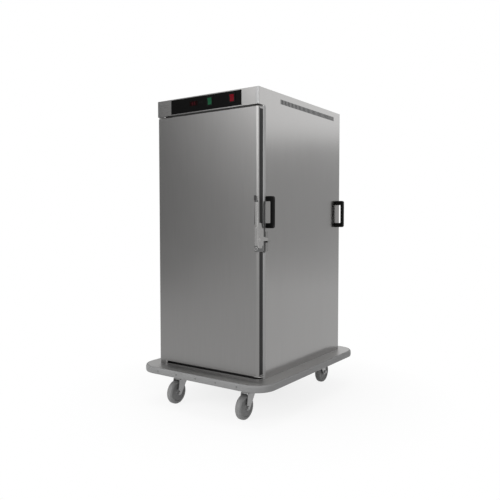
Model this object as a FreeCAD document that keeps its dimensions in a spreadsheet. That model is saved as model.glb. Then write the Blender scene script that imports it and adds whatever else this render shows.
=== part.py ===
import FreeCAD, Part
import Sketcher
import os
from FreeCAD import Placement, Rotation, Vector

# Mobile heated holding cabinet: an insulated stainless cabinet on a bumper tray with four swivel casters.
# Frame: millimetres, +Z up, origin on the floor under the middle of the bumper. The door faces -Y, and +X
# is to the right of someone who faces the door.

doc = FreeCAD.newDocument("HeatedCabinet")
sheet = doc.addObject("Spreadsheet::Sheet", "Dimensions")


class Size:
    """A length known both as a number and as the text of an expression on the sheet's cells."""

    def __init__(self, text, value):
        self.text = text
        self.value = value

    def join(self, sign, other, value, swapped=False):
        left, right = (as_size(other).text, self.text) if swapped else (self.text, as_size(other).text)
        return Size(f"({left} {sign} {right})", value)

    def __add__(self, other):
        return self.join("+", other, self.value + as_size(other).value)

    __radd__ = __add__

    def __sub__(self, other):
        return self.join("-", other, self.value - as_size(other).value)

    def __rsub__(self, other):
        return self.join("-", other, as_size(other).value - self.value, swapped=True)

    def __mul__(self, other):
        return self.join("*", other, self.value * as_size(other).value)

    __rmul__ = __mul__

    def __truediv__(self, other):
        return self.join("/", other, self.value / as_size(other).value)

    def __neg__(self):
        return Size(f"(0 - {self.text})", -self.value)


def as_size(number):
    """A plain number as a Size."""
    return number if isinstance(number, Size) else Size(repr(number), number)


def size(alias, value):
    """Writes one driving dimension to the sheet and returns it."""
    size.row += 1
    sheet.set(f"A{size.row}", alias)
    sheet.set(f"B{size.row}", str(value))
    sheet.setAlias(f"B{size.row}", alias)
    return Size(f"Dimensions.{alias}", value)


size.row = 0

# Bumper tray
bumper_width = size("bumper_width", 816)
bumper_depth = size("bumper_depth", 1044)
bumper_corner = size("bumper_corner", 110)
bumper_bottom = size("bumper_bottom", 175)
bumper_height = size("bumper_height", 35)
bumper_wall = size("bumper_wall", 10)
bumper_edge = size("bumper_edge", 4)
tray_sheet = size("tray_sheet", 3)
front_projection = size("front_projection", 86)
rear_projection = size("rear_projection", 90)
bumper_screw_radius = size("bumper_screw_radius", 4.5)
bumper_screw_sink = size("bumper_screw_sink", 4)
bumper_screw_head = size("bumper_screw_head", 2.5)
front_screw_pitch = size("front_screw_pitch", 128)
side_screw_pitch = size("side_screw_pitch", 138)

# Cabinet body
body_width = size("body_width", 650)
body_height = size("body_height", 1411)
head_height = size("head_height", 82)
steel = size("sheet_steel", 1.2)
insulation = size("insulation", 40)
return_flange = size("return_flange", 18)
fold_radius = size("fold_radius", 12)
head_fold_radius = size("head_fold_radius", 4)
fit = size("fit_gap", 0.3)
OVER = 1

# Ventilation slots of the head
vent_start = size("vent_start", 198)
vent_length = size("vent_length", 588)
vent_height = size("vent_height", 22)
vent_below_top = size("vent_below_top", 30)
vent_slot = size("vent_slot", 7)
vent_count = 42

# Door
door_thickness = size("door_thickness", 40)
door_gap = size("door_gap", 5)
door_floor_gap = size("door_floor_gap", 22)
door_head_gap = size("door_head_gap", 10)
door_left_inset = size("door_left_inset", 1)
door_right_inset = size("door_right_inset", 1)
door_edge_radius = size("door_edge_radius", 12)
edge_profile = size("edge_profile", 7)
edge_profile_setback = size("edge_profile_setback", 13)
edge_profile_top = size("edge_profile_top", 9)
edge_profile_bottom = size("edge_profile_bottom", 6)
gasket_width = size("gasket_width", 16)
gasket_inset = size("gasket_inset", 3)
plug_depth = size("plug_depth", 9)
plug_margin = size("plug_margin", 10)
hinge_inset = size("hinge_inset", 12)
hinge_setback = size("hinge_setback", 20)
hinge_leaf_width = size("hinge_leaf_width", 50)
hinge_leaf_height = size("hinge_leaf_height", 25)
hinge_pin_radius = size("hinge_pin_radius", 5)
hinge_pin_reach = size("hinge_pin_reach", 18)
hinge_plate = size("hinge_plate", 5)
bracket_setback = size("bracket_setback", 5)
bracket_round = size("bracket_round", 8)
pin_foot = size("pin_foot", 2)
running_gap = size("running_gap", 0.08)

# Control panel
panel_width = size("panel_width", 450)
panel_height = size("panel_height", 72)
panel_sheet = size("panel_sheet", 2.5)
panel_below_top = size("panel_below_top", 5)
switch_width = size("switch_width", 24)
switch_height = size("switch_height", 36)
switch_rim = size("switch_rim", 4)
switch_proud = size("switch_proud", 3)
switch_depth = size("switch_depth", 16)
switch_tilt = size("switch_tilt", 8)
switch_wall = size("switch_wall", 2)
switch_pin = size("switch_pin", 2)
switch_pin_depth = size("switch_pin_depth", 4)
switch_tip_gap = size("switch_tip_gap", 1.4)
switch_middle = size("switch_middle", 37)
rocker_horn = size("rocker_horn", 9)
rocker_dip = size("rocker_dip", 6)
rocker_tail = size("rocker_tail", 4)
rocker_belly = size("rocker_belly", 7)
rocker_round = size("rocker_round", 1.5)
power_switch_x = size("power_switch_x", 34)
heat_switch_x = size("heat_switch_x", 172)
display_x = size("display_x", -72)
display_width = size("display_width", 52)
display_height = size("display_height", 24)
display_depth = size("display_depth", 30)
display_rim = size("display_rim", 6)
board_width = size("board_width", 140)
board_sheet = size("board_sheet", 1.6)
board_headroom = size("board_headroom", 6)
relay_width = size("relay_width", 28)
relay_height = size("relay_height", 32)
relay_depth = size("relay_depth", 16)
transformer_size = size("transformer_size", 36)
transformer_depth = size("transformer_depth", 28)
board_gap = size("board_gap", 20)

# Push handles
handle_length = size("handle_length", 156)
handle_reach = size("handle_reach", 38)
handle_depth = size("handle_depth", 25)
handle_grip = size("handle_grip", 11)
handle_foot = size("handle_foot", 25)
handle_corner = size("handle_corner", 8)
handle_gap_corner = size("handle_gap_corner", 4)
handle_round = size("handle_round", 3)
handle_bottom = size("handle_bottom", 950)
handle_front_inset = size("handle_front_inset", 20)
handle_rear_inset = size("handle_rear_inset", 7)
handle_screw_radius = size("handle_screw_radius", 3)
handle_screw_head = size("handle_screw_head", 4)
handle_screw_head_radius = size("handle_screw_head_radius", 5)
handle_screw_sink = size("handle_screw_sink", 6)

# Door latch
latch_width = size("latch_width", 20)
latch_bottom = size("latch_bottom", 838)
latch_height = size("latch_height", 117)
latch_depth = size("latch_depth", 14)
latch_corner = size("latch_corner", 5)
latch_round = size("latch_round", 3)
latch_wrap = size("latch_wrap", 38)
latch_wrap_sheet = size("latch_wrap_sheet", 5)
latch_pivot_height = size("latch_pivot_height", 57)
latch_pivot_radius = size("latch_pivot_radius", 5)
lever_sheet = size("lever_sheet", 6)
lever_corner = size("lever_corner", 6)
lever_foot_drop = size("lever_foot_drop", 40)
lever_foot_front = size("lever_foot_front", 6)
lever_foot_rear = size("lever_foot_rear", 22)
lever_knee = size("lever_knee", 30)
lever_neck = size("lever_neck", 16)
lever_cross = size("lever_cross", 18)
lever_lift = size("lever_lift", 3)
lever_grip_length = size("lever_grip_length", 127)
lever_grip_width = size("lever_grip_width", 17)
lever_grip_sheet = size("lever_grip_sheet", 10)
lever_grip_lean = size("lever_grip_lean", 6)
lever_grip_corner = size("lever_grip_corner", 7)
lever_grip_round = size("lever_grip_round", 4)
lever_root = size("lever_root", 3)
lever_proud = size("lever_proud", 1)
lever_pivot_gap = size("lever_pivot_gap", 2)
lever_tongue = size("lever_tongue", 75)
lever_tongue_height = size("lever_tongue_height", 13)
lever_tongue_drop = size("lever_tongue_drop", 6)
lock_radius = size("lock_radius", 8)
lock_drop = size("lock_drop", 15)
lock_inset = size("lock_inset", 10)
lock_depth = size("lock_depth", 13)
lock_proud = size("lock_proud", 1.5)
key_slot_width = size("key_slot_width", 1.6)
key_slot_height = size("key_slot_height", 10)
key_slot_depth = size("key_slot_depth", 4.5)
keeper_width = size("keeper_width", 24)
keeper_height = size("keeper_height", 96)
keeper_sheet = size("keeper_sheet", 2)
keeper_setback = size("keeper_setback", 1)
keeper_shelf = size("keeper_shelf", 12)
keeper_shelf_height = size("keeper_shelf_height", 8)
keeper_margin = size("keeper_margin", 1)

# Casters
caster_side_inset = size("caster_side_inset", 183)
caster_end_inset = size("caster_end_inset", 147)
caster_height = size("caster_height", 160)
wheel_radius = size("wheel_radius", 62.5)
wheel_width = size("wheel_width", 34)
hub_width = size("hub_width", 38)
hub_wall = size("hub_wall", 9)
hub_taper = size("hub_taper", 3)
wheel_web = size("wheel_web", 14)
tyre_depth = size("tyre_depth", 17)
tyre_taper = size("tyre_taper", 5)
tyre_shoulder = size("tyre_shoulder", 5)
tyre_shoulder_drop = size("tyre_shoulder_drop", 8)
axle_radius = size("axle_radius", 5)
axle_head_radius = size("axle_head_radius", 9.5)
axle_head = size("axle_head", 6)
axle_nut = size("axle_nut", 7)
trail = size("trail", 38)
fork_gap = size("fork_gap", 40)
fork_sheet = size("fork_sheet", 3.5)
fork_crown_gap = size("fork_crown_gap", 6)
fork_foot = size("fork_foot", 26)
fork_foot_drop = size("fork_foot_drop", 14)
fork_foot_round = size("fork_foot_round", 11)
fork_front_drop = size("fork_front_drop", 4)
fork_rear_drop = size("fork_rear_drop", 16)
fork_rear_step = size("fork_rear_step", 6)
fork_rear_slope = size("fork_rear_slope", 4)
fork_bend = size("fork_bend", 2)
race_radius = size("race_radius", 28)
race_lip = size("race_lip", 2)
race_height = size("race_height", 5)
caster_plate = size("caster_plate", 5)
caster_plate_x = size("caster_plate_x", 85)
caster_plate_y = size("caster_plate_y", 100)
caster_bolt_x = size("caster_bolt_x", 60)
caster_bolt_y = size("caster_bolt_y", 75)
caster_bolt_radius = size("caster_bolt_radius", 4)
caster_bolt_head = size("caster_bolt_head", 4)
caster_bolt_head_radius = size("caster_bolt_head_radius", 7.2)
rail_width = size("rail_width", 110)
rail_overhang = size("rail_overhang", 65)
rail_wall = size("rail_wall", 3)

# Chamber fittings
runner_pitch = size("runner_pitch", 75)
runner_first = size("runner_first", 70)
runner_ledge = size("runner_ledge", 26)
runner_web = size("runner_web", 18)
runner_sheet = size("runner_sheet", 1.5)
runner_headroom = size("runner_headroom", 100)
runner_front_gap = size("runner_front_gap", 30)
runner_rear_gap = size("runner_rear_gap", 24)
upright_sheet = size("upright_sheet", 7)
upright_width = size("upright_width", 30)
upright_setback = size("upright_setback", 110)
upright_rise = size("upright_rise", 30)
baffle_drop = size("baffle_drop", 62)
baffle_half_width = size("baffle_half_width", 215)
baffle_end_gap = size("baffle_end_gap", 60)
baffle_slot = size("baffle_slot", 40)
baffle_slot_pitch = size("baffle_slot_pitch", 60)
baffle_slot_margin = size("baffle_slot_margin", 14)
baffle_inlet_margin = size("baffle_inlet_margin", 20)
fan_radius = size("fan_radius", 85)
fan_height = size("fan_height", 34)
fan_shaft = size("fan_shaft", 5)
fan_shaft_gap = size("fan_shaft_gap", 2)
fan_ceiling_gap = size("fan_ceiling_gap", 8)
fan_hub_wall = size("fan_hub_wall", 9)
fan_disc = size("fan_disc", 2)
fan_blade_length = size("fan_blade_length", 29)
fan_blade_sheet = size("fan_blade_sheet", 2)
fan_blades = 14
motor_radius = size("motor_radius", 42)
motor_height = size("motor_height", 58)
heater_radius = size("heater_radius", 118)
heater_tube = size("heater_tube", 4)
heater_leg_pitch = size("heater_leg_pitch", 32)
heater_leg_rise = size("heater_leg_rise", 12)
probe_x = size("probe_x", 120)
probe_drop = size("probe_drop", 40)
probe_length = size("probe_length", 76)
probe_radius = size("probe_radius", 3)
probe_flange = size("probe_flange", 4)
probe_flange_radius = size("probe_flange_radius", 9)
gland_x = size("gland_x", -200)
gland_radius = size("gland_radius", 10)
gland_bore = size("gland_bore", 5.5)
gland_inside = size("gland_inside", 8)
gland_outside = size("gland_outside", 14)
gland_flange = size("gland_flange", 6)
gland_flange_radius = size("gland_flange_radius", 13.5)

# Places that several pieces share
SIDE = body_width / 2
DOOR_FRONT = front_projection - bumper_depth / 2
BODY_FRONT = DOOR_FRONT + door_thickness + door_gap
BODY_REAR = bumper_depth / 2 - rear_projection
TRAY_TOP = bumper_bottom + bumper_height
BODY_TOP = TRAY_TOP + body_height
HEAD_BOTTOM = BODY_TOP - head_height
INNER_EDGE = SIDE - return_flange - fit
LINER_SIDE = SIDE - steel - insulation
LINER_FRONT = BODY_FRONT + steel
LINER_REAR = BODY_REAR - steel - insulation
LINER_BOTTOM = TRAY_TOP + insulation
LINER_TOP = HEAD_BOTTOM - insulation
DOOR_LEFT = door_left_inset - SIDE
DOOR_RIGHT = SIDE - door_right_inset
DOOR_BOTTOM = TRAY_TOP + door_floor_gap
DOOR_TOP = HEAD_BOTTOM - door_head_gap
HINGE_X = DOOR_LEFT + hinge_inset
HINGE_Y = DOOR_FRONT + hinge_setback
PANEL_TOP = BODY_TOP - panel_below_top
PANEL_FRONT = DOOR_FRONT - panel_sheet
SWITCH_Z = BODY_TOP - switch_middle
FAN_Y = (LINER_FRONT + LINER_REAR) / 2
BAFFLE_Z = LINER_TOP - steel - baffle_drop
PIVOT_Y = DOOR_FRONT - latch_depth / 2
PIVOT_Z = latch_bottom + latch_pivot_height
LEVER_LEFT = DOOR_RIGHT + fit + latch_wrap_sheet + fit
caster_x = bumper_width / 2 - caster_side_inset
caster_y = bumper_depth / 2 - caster_end_inset
rail_length = (caster_x + rail_overhang) * 2
runner_rise = BAFFLE_Z - LINER_BOTTOM - steel - runner_first - runner_headroom
runner_count = int(runner_rise.value // runner_pitch.value) + 1
CROWN = wheel_radius * 2 + fork_crown_gap
RACE_TOP = caster_height - caster_plate - race_height

pieces = []


def piece(label, shape_object):
    """Names a finished sub-part after its node."""
    shape_object.Label = label
    pieces.append(shape_object)
    return shape_object


def bind(target, prop, amount):
    """Ties a property to the sheet."""
    target.setExpression(prop, as_size(amount).text)


def place(target, x=0, y=0, z=0):
    """Ties an object's position to the sheet."""
    for axis, amount in zip("xyz", (x, y, z)):
        bind(target, f"Placement.Base.{axis}", amount)
    return target


def box(name, x, y, z):
    """A block between two ends on each axis, each given as (low, high)."""
    block = doc.addObject("Part::Box", name)
    for prop, (low, high) in zip(("Length", "Width", "Height"), (x, y, z)):
        bind(block, prop, as_size(high) - low)
    return place(block, x[0], y[0], z[0])


TURN = {"x": Rotation(Vector(0, 1, 0), 90), "y": Rotation(Vector(1, 0, 0), -90), "z": Rotation()}


def rod(name, axis, radius, start, length):
    """A cylinder that runs from a point along +x, +y or +z."""
    cylinder = doc.addObject("Part::Cylinder", name)
    bind(cylinder, "Radius", radius)
    bind(cylinder, "Height", length)
    cylinder.Placement = Placement(Vector(), TURN[axis])
    return place(cylinder, *start)


def hexagon(name, axis, across, start, length):
    """A hexagon prism along +x or +z, across being its circumscribed radius."""
    prism = doc.addObject("Part::Prism", name)
    prism.Polygon = 6
    bind(prism, "Circumradius", across)
    bind(prism, "Height", length)
    prism.Placement = Placement(Vector(), TURN[axis])
    return place(prism, *start)


def fuse(name, *parts):
    """One solid out of several that touch."""
    union = doc.addObject("Part::MultiFuse", name)
    union.Shapes = list(parts)
    union.Refine = True
    return union


def cut(name, base, *tools):
    """A solid with one or more tools taken away."""
    difference = doc.addObject("Part::Cut", name)
    difference.Base = base
    difference.Tool = tools[0] if len(tools) == 1 else group(name + "Tools", *tools)
    return difference


def group(name, *parts):
    """Several separate solids kept as one sub-part."""
    compound = doc.addObject("Part::Compound", name)
    compound.Links = list(parts)
    return compound


def new_body(name, x=0, y=0, z=0):
    """An empty body at a place tied to the sheet."""
    return place(doc.addObject("PartDesign::Body", name), x, y, z)


def new_sketch(body, name, role, lift=0):
    """A sketch on one of the body's own planes, lifted off it along its normal."""
    sketch = body.newObject("Sketcher::SketchObject", name)
    sketch.AttachmentSupport = [(next(f for f in body.Origin.OriginFeatures if f.Role == role), "")]
    sketch.MapMode = "FlatFace"
    bind(sketch, "AttachmentOffset.Base.z", lift)
    return sketch


def hold(sketch, kind, geometry, point, amount):
    """Holds one sketch point at a distance from the origin along an axis."""
    amount = as_size(amount)
    at = sketch.addConstraint(Sketcher.Constraint(kind, -1, 1, geometry, point, amount.value))
    sketch.setExpression(f"Constraints[{at}]", amount.text)


def polygon(body, name, role, corners, lift=0):
    """A closed outline with straight sides, every corner held by two distances."""
    sketch = new_sketch(body, name, role, lift)
    corners = [(as_size(x), as_size(y)) for x, y in corners]
    points = [Vector(x.value, y.value, 0) for x, y in corners]
    count = len(points)
    for i in range(count):
        sketch.addGeometry(Part.LineSegment(points[i], points[(i + 1) % count]))
    for i in range(count):
        sketch.addConstraint(Sketcher.Constraint("Coincident", i, 2, (i + 1) % count, 1))
    for i, (x, y) in enumerate(corners):
        hold(sketch, "DistanceX", i, 1, x)
        hold(sketch, "DistanceY", i, 1, y)
    return sketch


def rectangle(body, name, role, x, y, lift=0):
    """A rectangle between two ends on each axis."""
    return polygon(body, name, role, [(x[0], y[0]), (x[1], y[0]), (x[1], y[1]), (x[0], y[1])], lift)


def circle(body, name, role, centre, radius, lift=0):
    """A circle held by its centre and radius."""
    sketch = new_sketch(body, name, role, lift)
    centre = [as_size(c) for c in centre]
    radius = as_size(radius)
    middle = Vector(centre[0].value, centre[1].value, 0)
    sketch.addGeometry(Part.Circle(middle, Vector(0, 0, 1), radius.value))
    hold(sketch, "DistanceX", 0, 3, centre[0])
    hold(sketch, "DistanceY", 0, 3, centre[1])
    at = sketch.addConstraint(Sketcher.Constraint("Radius", 0, radius.value))
    sketch.setExpression(f"Constraints[{at}]", radius.text)
    return sketch


def pad(body, sketch, length, middle=False, back=False):
    """Material raised from a sketch along its normal, to both sides, or the other way."""
    feature = body.newObject("PartDesign::Pad", sketch.Name + "Pad")
    feature.Profile = sketch
    bind(feature, "Length", length)
    feature.Midplane = middle
    feature.Reversed = back
    doc.recompute()
    return feature


def pocket(body, sketch, length=None, middle=False, back=False):
    """Material cut away from a sketch against its normal, or right through both ways."""
    before = body.Shape.Volume
    feature = body.newObject("PartDesign::Pocket", sketch.Name + "Pocket")
    feature.Profile = sketch
    if length is None:
        feature.Type = "ThroughAll"
    else:
        bind(feature, "Length", length)
    feature.Midplane = middle
    feature.Reversed = back
    doc.recompute()
    if body.Shape.Volume > before - 1e-6:
        raise RuntimeError(f"{sketch.Name} cuts nothing")
    return feature


def revolve(body, sketch, axis="H_Axis"):
    """A full turn of a sketch about its own horizontal or upright axis."""
    feature = body.newObject("PartDesign::Revolution", sketch.Name + "Turn")
    feature.Profile = sketch
    feature.ReferenceAxis = (sketch, [axis])
    feature.Angle = 360
    doc.recompute()
    return feature


def along(edge, axis):
    """Whether an edge is straight along an axis."""
    return edge.Curve.TypeId == "Part::GeomLine" and abs(abs(edge.Curve.Direction.dot(axis)) - 1) < 1e-6


def standing(body):
    """The shape of the body's last feature where it stands in the cabinet."""
    shape = body.Tip.Shape.copy()
    shape.Placement = body.Placement.multiply(shape.Placement)
    return shape


def fillet(body, radius, chosen):
    """Rounds the edges of the body's last feature that a test picks."""
    base = body.Tip
    names = [f"Edge{i}" for i, e in enumerate(standing(body).Edges, 1) if chosen(e)]
    if not names:
        raise RuntimeError(f"{body.Name} has no edge to round")
    feature = body.newObject("PartDesign::Fillet", body.Name + "Round")
    feature.Base = (base, names)
    bind(feature, "Radius", radius)
    doc.recompute()
    return feature


def hollow(body, wall, chosen):
    """Turns the body's last feature into a shell of one wall, open at the face that a test picks."""
    base = body.Tip
    names = [f"Face{i}" for i, f in enumerate(standing(body).Faces, 1) if chosen(f)]
    if not names:
        raise RuntimeError(f"{body.Name} has no face to open")
    feature = body.newObject("PartDesign::Thickness", body.Name + "Shell")
    feature.Base = (base, names)
    bind(feature, "Value", wall)
    feature.Reversed = True
    doc.recompute()
    return feature


def repeat(body, feature, axis, length, count):
    """Copies a feature in a row along one of the body's axes."""
    pattern = body.newObject("PartDesign::LinearPattern", feature.Name + "Row")
    pattern.Originals = [feature]
    pattern.Direction = (next(f for f in body.Origin.OriginFeatures if f.Role == axis), [""])
    bind(pattern, "Length", length)
    pattern.Occurrences = count
    body.Tip = pattern
    doc.recompute()
    return pattern


def turn_round(body, feature, count):
    """Copies a feature round the body's Z axis."""
    pattern = body.newObject("PartDesign::PolarPattern", feature.Name + "Ring")
    pattern.Originals = [feature]
    pattern.Axis = (next(f for f in body.Origin.OriginFeatures if f.Role == "Z_Axis"), [""])
    pattern.Angle = 360
    pattern.Occurrences = count
    body.Tip = pattern
    doc.recompute()
    return pattern


X, Y, Z = Vector(1, 0, 0), Vector(0, 1, 0), Vector(0, 0, 1)


# Base: bumper tray, its plastic strip and the caster rails

def rounded_slab(name, inset, bottom, height, corner):
    """A slab with the bumper's outline, set in all round."""
    body = new_body(name, 0, 0, bottom)
    half_x = bumper_width / 2 - inset
    half_y = bumper_depth / 2 - inset
    pad(body, rectangle(body, name + "Outline", "XY_Plane", (-half_x, half_x), (-half_y, half_y)), height)
    fillet(body, corner, lambda e: along(e, Z))
    return body


def build_base():
    """Base tray with a turned-down rim, the strip round it, the strip's screws and the caster rails."""
    tray = rounded_slab("BaseTray", bumper_wall, bumper_bottom + tray_sheet, bumper_height - tray_sheet,
                        bumper_corner - bumper_wall)
    hollow(tray, tray_sheet, lambda f: f.normalAt(0, 0).z < -0.9)
    piece("base_tray", tray)

    strip = rounded_slab("BumperStrip", 0, bumper_bottom, bumper_height, bumper_corner)
    middle = (bumper_bottom + bumper_height / 2).value
    rise = bumper_height.value / 2
    fillet(strip, bumper_edge, lambda e: abs(abs(e.CenterOfMass.z - middle) - rise) < 1e-6)
    core = rounded_slab("BumperCore", bumper_wall, bumper_bottom - OVER, bumper_height + OVER * 2,
                        bumper_corner - bumper_wall)
    ring = cut("BumperRing", strip, core)
    sinks, screws = [], []
    height = bumper_bottom + bumper_height / 2
    rows = [("y", bumper_depth / 2, front_screw_pitch, (-2, -1, 0, 1, 2)),
            ("x", bumper_width / 2, side_screw_pitch, (-2.5, -1.5, -0.5, 0.5, 1.5, 2.5))]
    sink_radius = bumper_screw_radius + fit
    for axis, face, pitch, steps in rows:
        near = (-face - OVER, bumper_screw_sink - bumper_screw_head - face)
        far = (face - bumper_screw_sink, face - bumper_screw_sink)
        for across in (pitch * step for step in steps):
            for starts in (near, far):
                ends = [(across, s, height) if axis == "y" else (s, across, height) for s in starts]
                sinks.append(rod("ScrewSink", axis, sink_radius, ends[0], bumper_screw_sink + OVER))
                screws.append(rod("ScrewHead", axis, bumper_screw_radius, ends[1], bumper_screw_head))
    piece("bumper_strip", cut("BumperSunk", ring, *sinks))
    piece("bumper_screws", group("BumperScrews", *screws))

    rails = []
    for sign in (-1, 1):
        y = (caster_y * sign - rail_width / 2, caster_y * sign + rail_width / 2)
        z = (caster_height, TRAY_TOP - tray_sheet)
        outer = box("RailOuter", (-rail_length / 2, rail_length / 2), y, z)
        inner = box("RailInner", (-rail_length / 2 - OVER, rail_length / 2 + OVER),
                    (y[0] + rail_wall, y[1] - rail_wall), (z[0] + rail_wall, z[1] - rail_wall))
        rails.append(cut("CasterRail", outer, inner))
    piece("chassis_rails", group("ChassisRails", *rails))


# Casters

def build_caster(corner, sign_x, sign_y):
    """One swivel caster whose wheel trails away from the middle: fork, axle and wheel."""
    at = (caster_x * sign_x, caster_y * sign_y)
    spin = Placement(Vector(), Rotation(Z, 0 if sign_y < 0 else 180))

    fork = doc.addObject("PartDesign::Body", f"Fork_{corner}")
    fork.Placement = spin
    place(fork, *at)
    foot = wheel_radius - fork_foot_drop
    crown_top = CROWN + fork_sheet
    rear = -race_radius - fork_rear_step
    outline = [(-trail - fork_foot / 2, foot), (fork_foot / 2 - trail, foot),
               (race_radius, CROWN - fork_front_drop), (race_radius, crown_top), (rear, crown_top),
               (rear - fork_rear_slope, CROWN - fork_rear_drop)]
    side = polygon(fork, f"ForkSide_{corner}", "YZ_Plane", outline)
    pad(fork, side, fork_gap + fork_sheet * 2, middle=True)
    fillet(fork, fork_foot_round, lambda e: along(e, X) and abs(e.CenterOfMass.z - foot.value) < 1e-3)
    fillet(fork, fork_sheet + fork_bend, lambda e: e.Length > fork_sheet.value * 6 and not along(e, X)
           and abs(e.CenterOfMass.z - crown_top.value) < 1e-3)
    gap = rectangle(fork, f"ForkGap_{corner}", "XZ_Plane", (-fork_gap / 2, fork_gap / 2), (0, CROWN))
    pocket(fork, gap, middle=True)
    race = circle(fork, f"ForkRace_{corner}", "XY_Plane", (0, 0), race_radius, crown_top)
    pad(fork, race, RACE_TOP - crown_top - fit)
    hole = circle(fork, f"ForkHole_{corner}", "YZ_Plane", (-trail, wheel_radius), axle_radius + running_gap)
    pocket(fork, hole, middle=True)
    piece(f"caster_fork_{corner}", fork)

    axle_y = at[1] + trail * sign_y
    half = fork_gap / 2 + fork_sheet
    left_face, right_face = at[0] - half, at[0] + half
    shaft = rod("AxleShaft", "x", axle_radius, (left_face, axle_y, wheel_radius), half * 2)
    head_start = (left_face - axle_head, axle_y, wheel_radius)
    head = hexagon("AxleHead", "x", axle_head_radius, head_start, axle_head)
    nut = hexagon("AxleNut", "x", axle_head_radius, (right_face, axle_y, wheel_radius), axle_nut)
    piece(f"caster_axle_{corner}", fuse(f"Axle_{corner}", shaft, head, nut))

    wheel = new_body(f"Wheel_{corner}", at[0], axle_y, wheel_radius)
    bore = axle_radius + running_gap
    hub, web, tyre = hub_width / 2, wheel_web / 2, wheel_width / 2
    rim = wheel_radius - tyre_depth
    steps = [(hub, bore), (hub, bore + hub_wall), (web, bore + hub_wall + hub_taper),
             (web, rim - tyre_taper), (tyre, rim), (tyre, wheel_radius - tyre_shoulder_drop),
             (tyre - tyre_shoulder, wheel_radius)]
    profile = steps + [(-x, r) for x, r in reversed(steps)]
    revolve(wheel, polygon(wheel, f"WheelSection_{corner}", "XZ_Plane", profile))
    piece(f"caster_wheel_{corner}", wheel)


def build_caster_plates():
    """The four caster top plates with their upper races, and the bolts that hold them."""
    plates, bolts = [], []
    for sign_x in (-1, 1):
        for sign_y in (-1, 1):
            x, y = caster_x * sign_x, caster_y * sign_y
            bottom = caster_height - caster_plate
            flat = box("PlateFlat", (x - caster_plate_x / 2, x + caster_plate_x / 2),
                       (y - caster_plate_y / 2, y + caster_plate_y / 2), (bottom, caster_height))
            race = rod("PlateRace", "z", race_radius + race_lip, (x, y, RACE_TOP), race_height)
            plate = fuse("PlateWhole", flat, race)
            holes = []
            for across in (-0.5, 0.5):
                for down in (-0.5, 0.5):
                    spot = (x + caster_bolt_x * across, y + caster_bolt_y * down)
                    holes.append(rod("BoltHole", "z", caster_bolt_radius + fit, (*spot, bottom - OVER),
                                     caster_plate + OVER * 2))
                    shank = rod("BoltShank", "z", caster_bolt_radius, (*spot, bottom), caster_plate)
                    head = hexagon("BoltHead", "z", caster_bolt_head_radius,
                                   (*spot, bottom - caster_bolt_head), caster_bolt_head)
                    bolts.append(fuse("CasterBolt", shank, head))
            plates.append(cut("CasterPlate", plate, *holes))
    piece("caster_plates", group("CasterPlates", *plates))
    piece("caster_bolts", group("CasterBolts", *bolts))


# Cabinet shell

def build_side_panel(label, sign):
    """One side panel: an L-shaped pan that runs forward over the door at the head, with a row of slots."""
    name = label.title().replace("_", "")
    body = new_body(name, SIDE - return_flange if sign > 0 else -SIDE)
    outline = [(BODY_FRONT, TRAY_TOP), (BODY_REAR, TRAY_TOP), (BODY_REAR, BODY_TOP), (DOOR_FRONT, BODY_TOP),
               (DOOR_FRONT, HEAD_BOTTOM), (BODY_FRONT, HEAD_BOTTOM)]
    pad(body, polygon(body, name + "Outline", "YZ_Plane", outline), return_flange)
    outer = SIDE.value * sign
    inner = (SIDE.value - return_flange.value) * sign
    for radius, front in ((fold_radius, BODY_FRONT), (head_fold_radius, DOOR_FRONT)):
        fillet(body, radius, lambda e: along(e, Z) and abs(e.CenterOfMass.x - outer) < 1e-3
               and abs(e.CenterOfMass.y - front.value) < 1e-3)
    hollow(body, steel, lambda f: abs(f.CenterOfMass.x - inner) < 1e-3 and abs(f.normalAt(0, 0).x) > 0.9)
    low = BODY_TOP - vent_below_top - vent_height
    start = DOOR_FRONT + vent_start
    slot = rectangle(body, name + "Slot", "YZ_Plane", (start, start + vent_slot), (low, low + vent_height),
                     return_flange + OVER if sign > 0 else -OVER)
    first = pocket(body, slot, steel + OVER * 2, back=sign < 0)
    repeat(body, first, "Y_Axis", vent_length - vent_slot, vent_count)
    piece(label, body)


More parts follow.
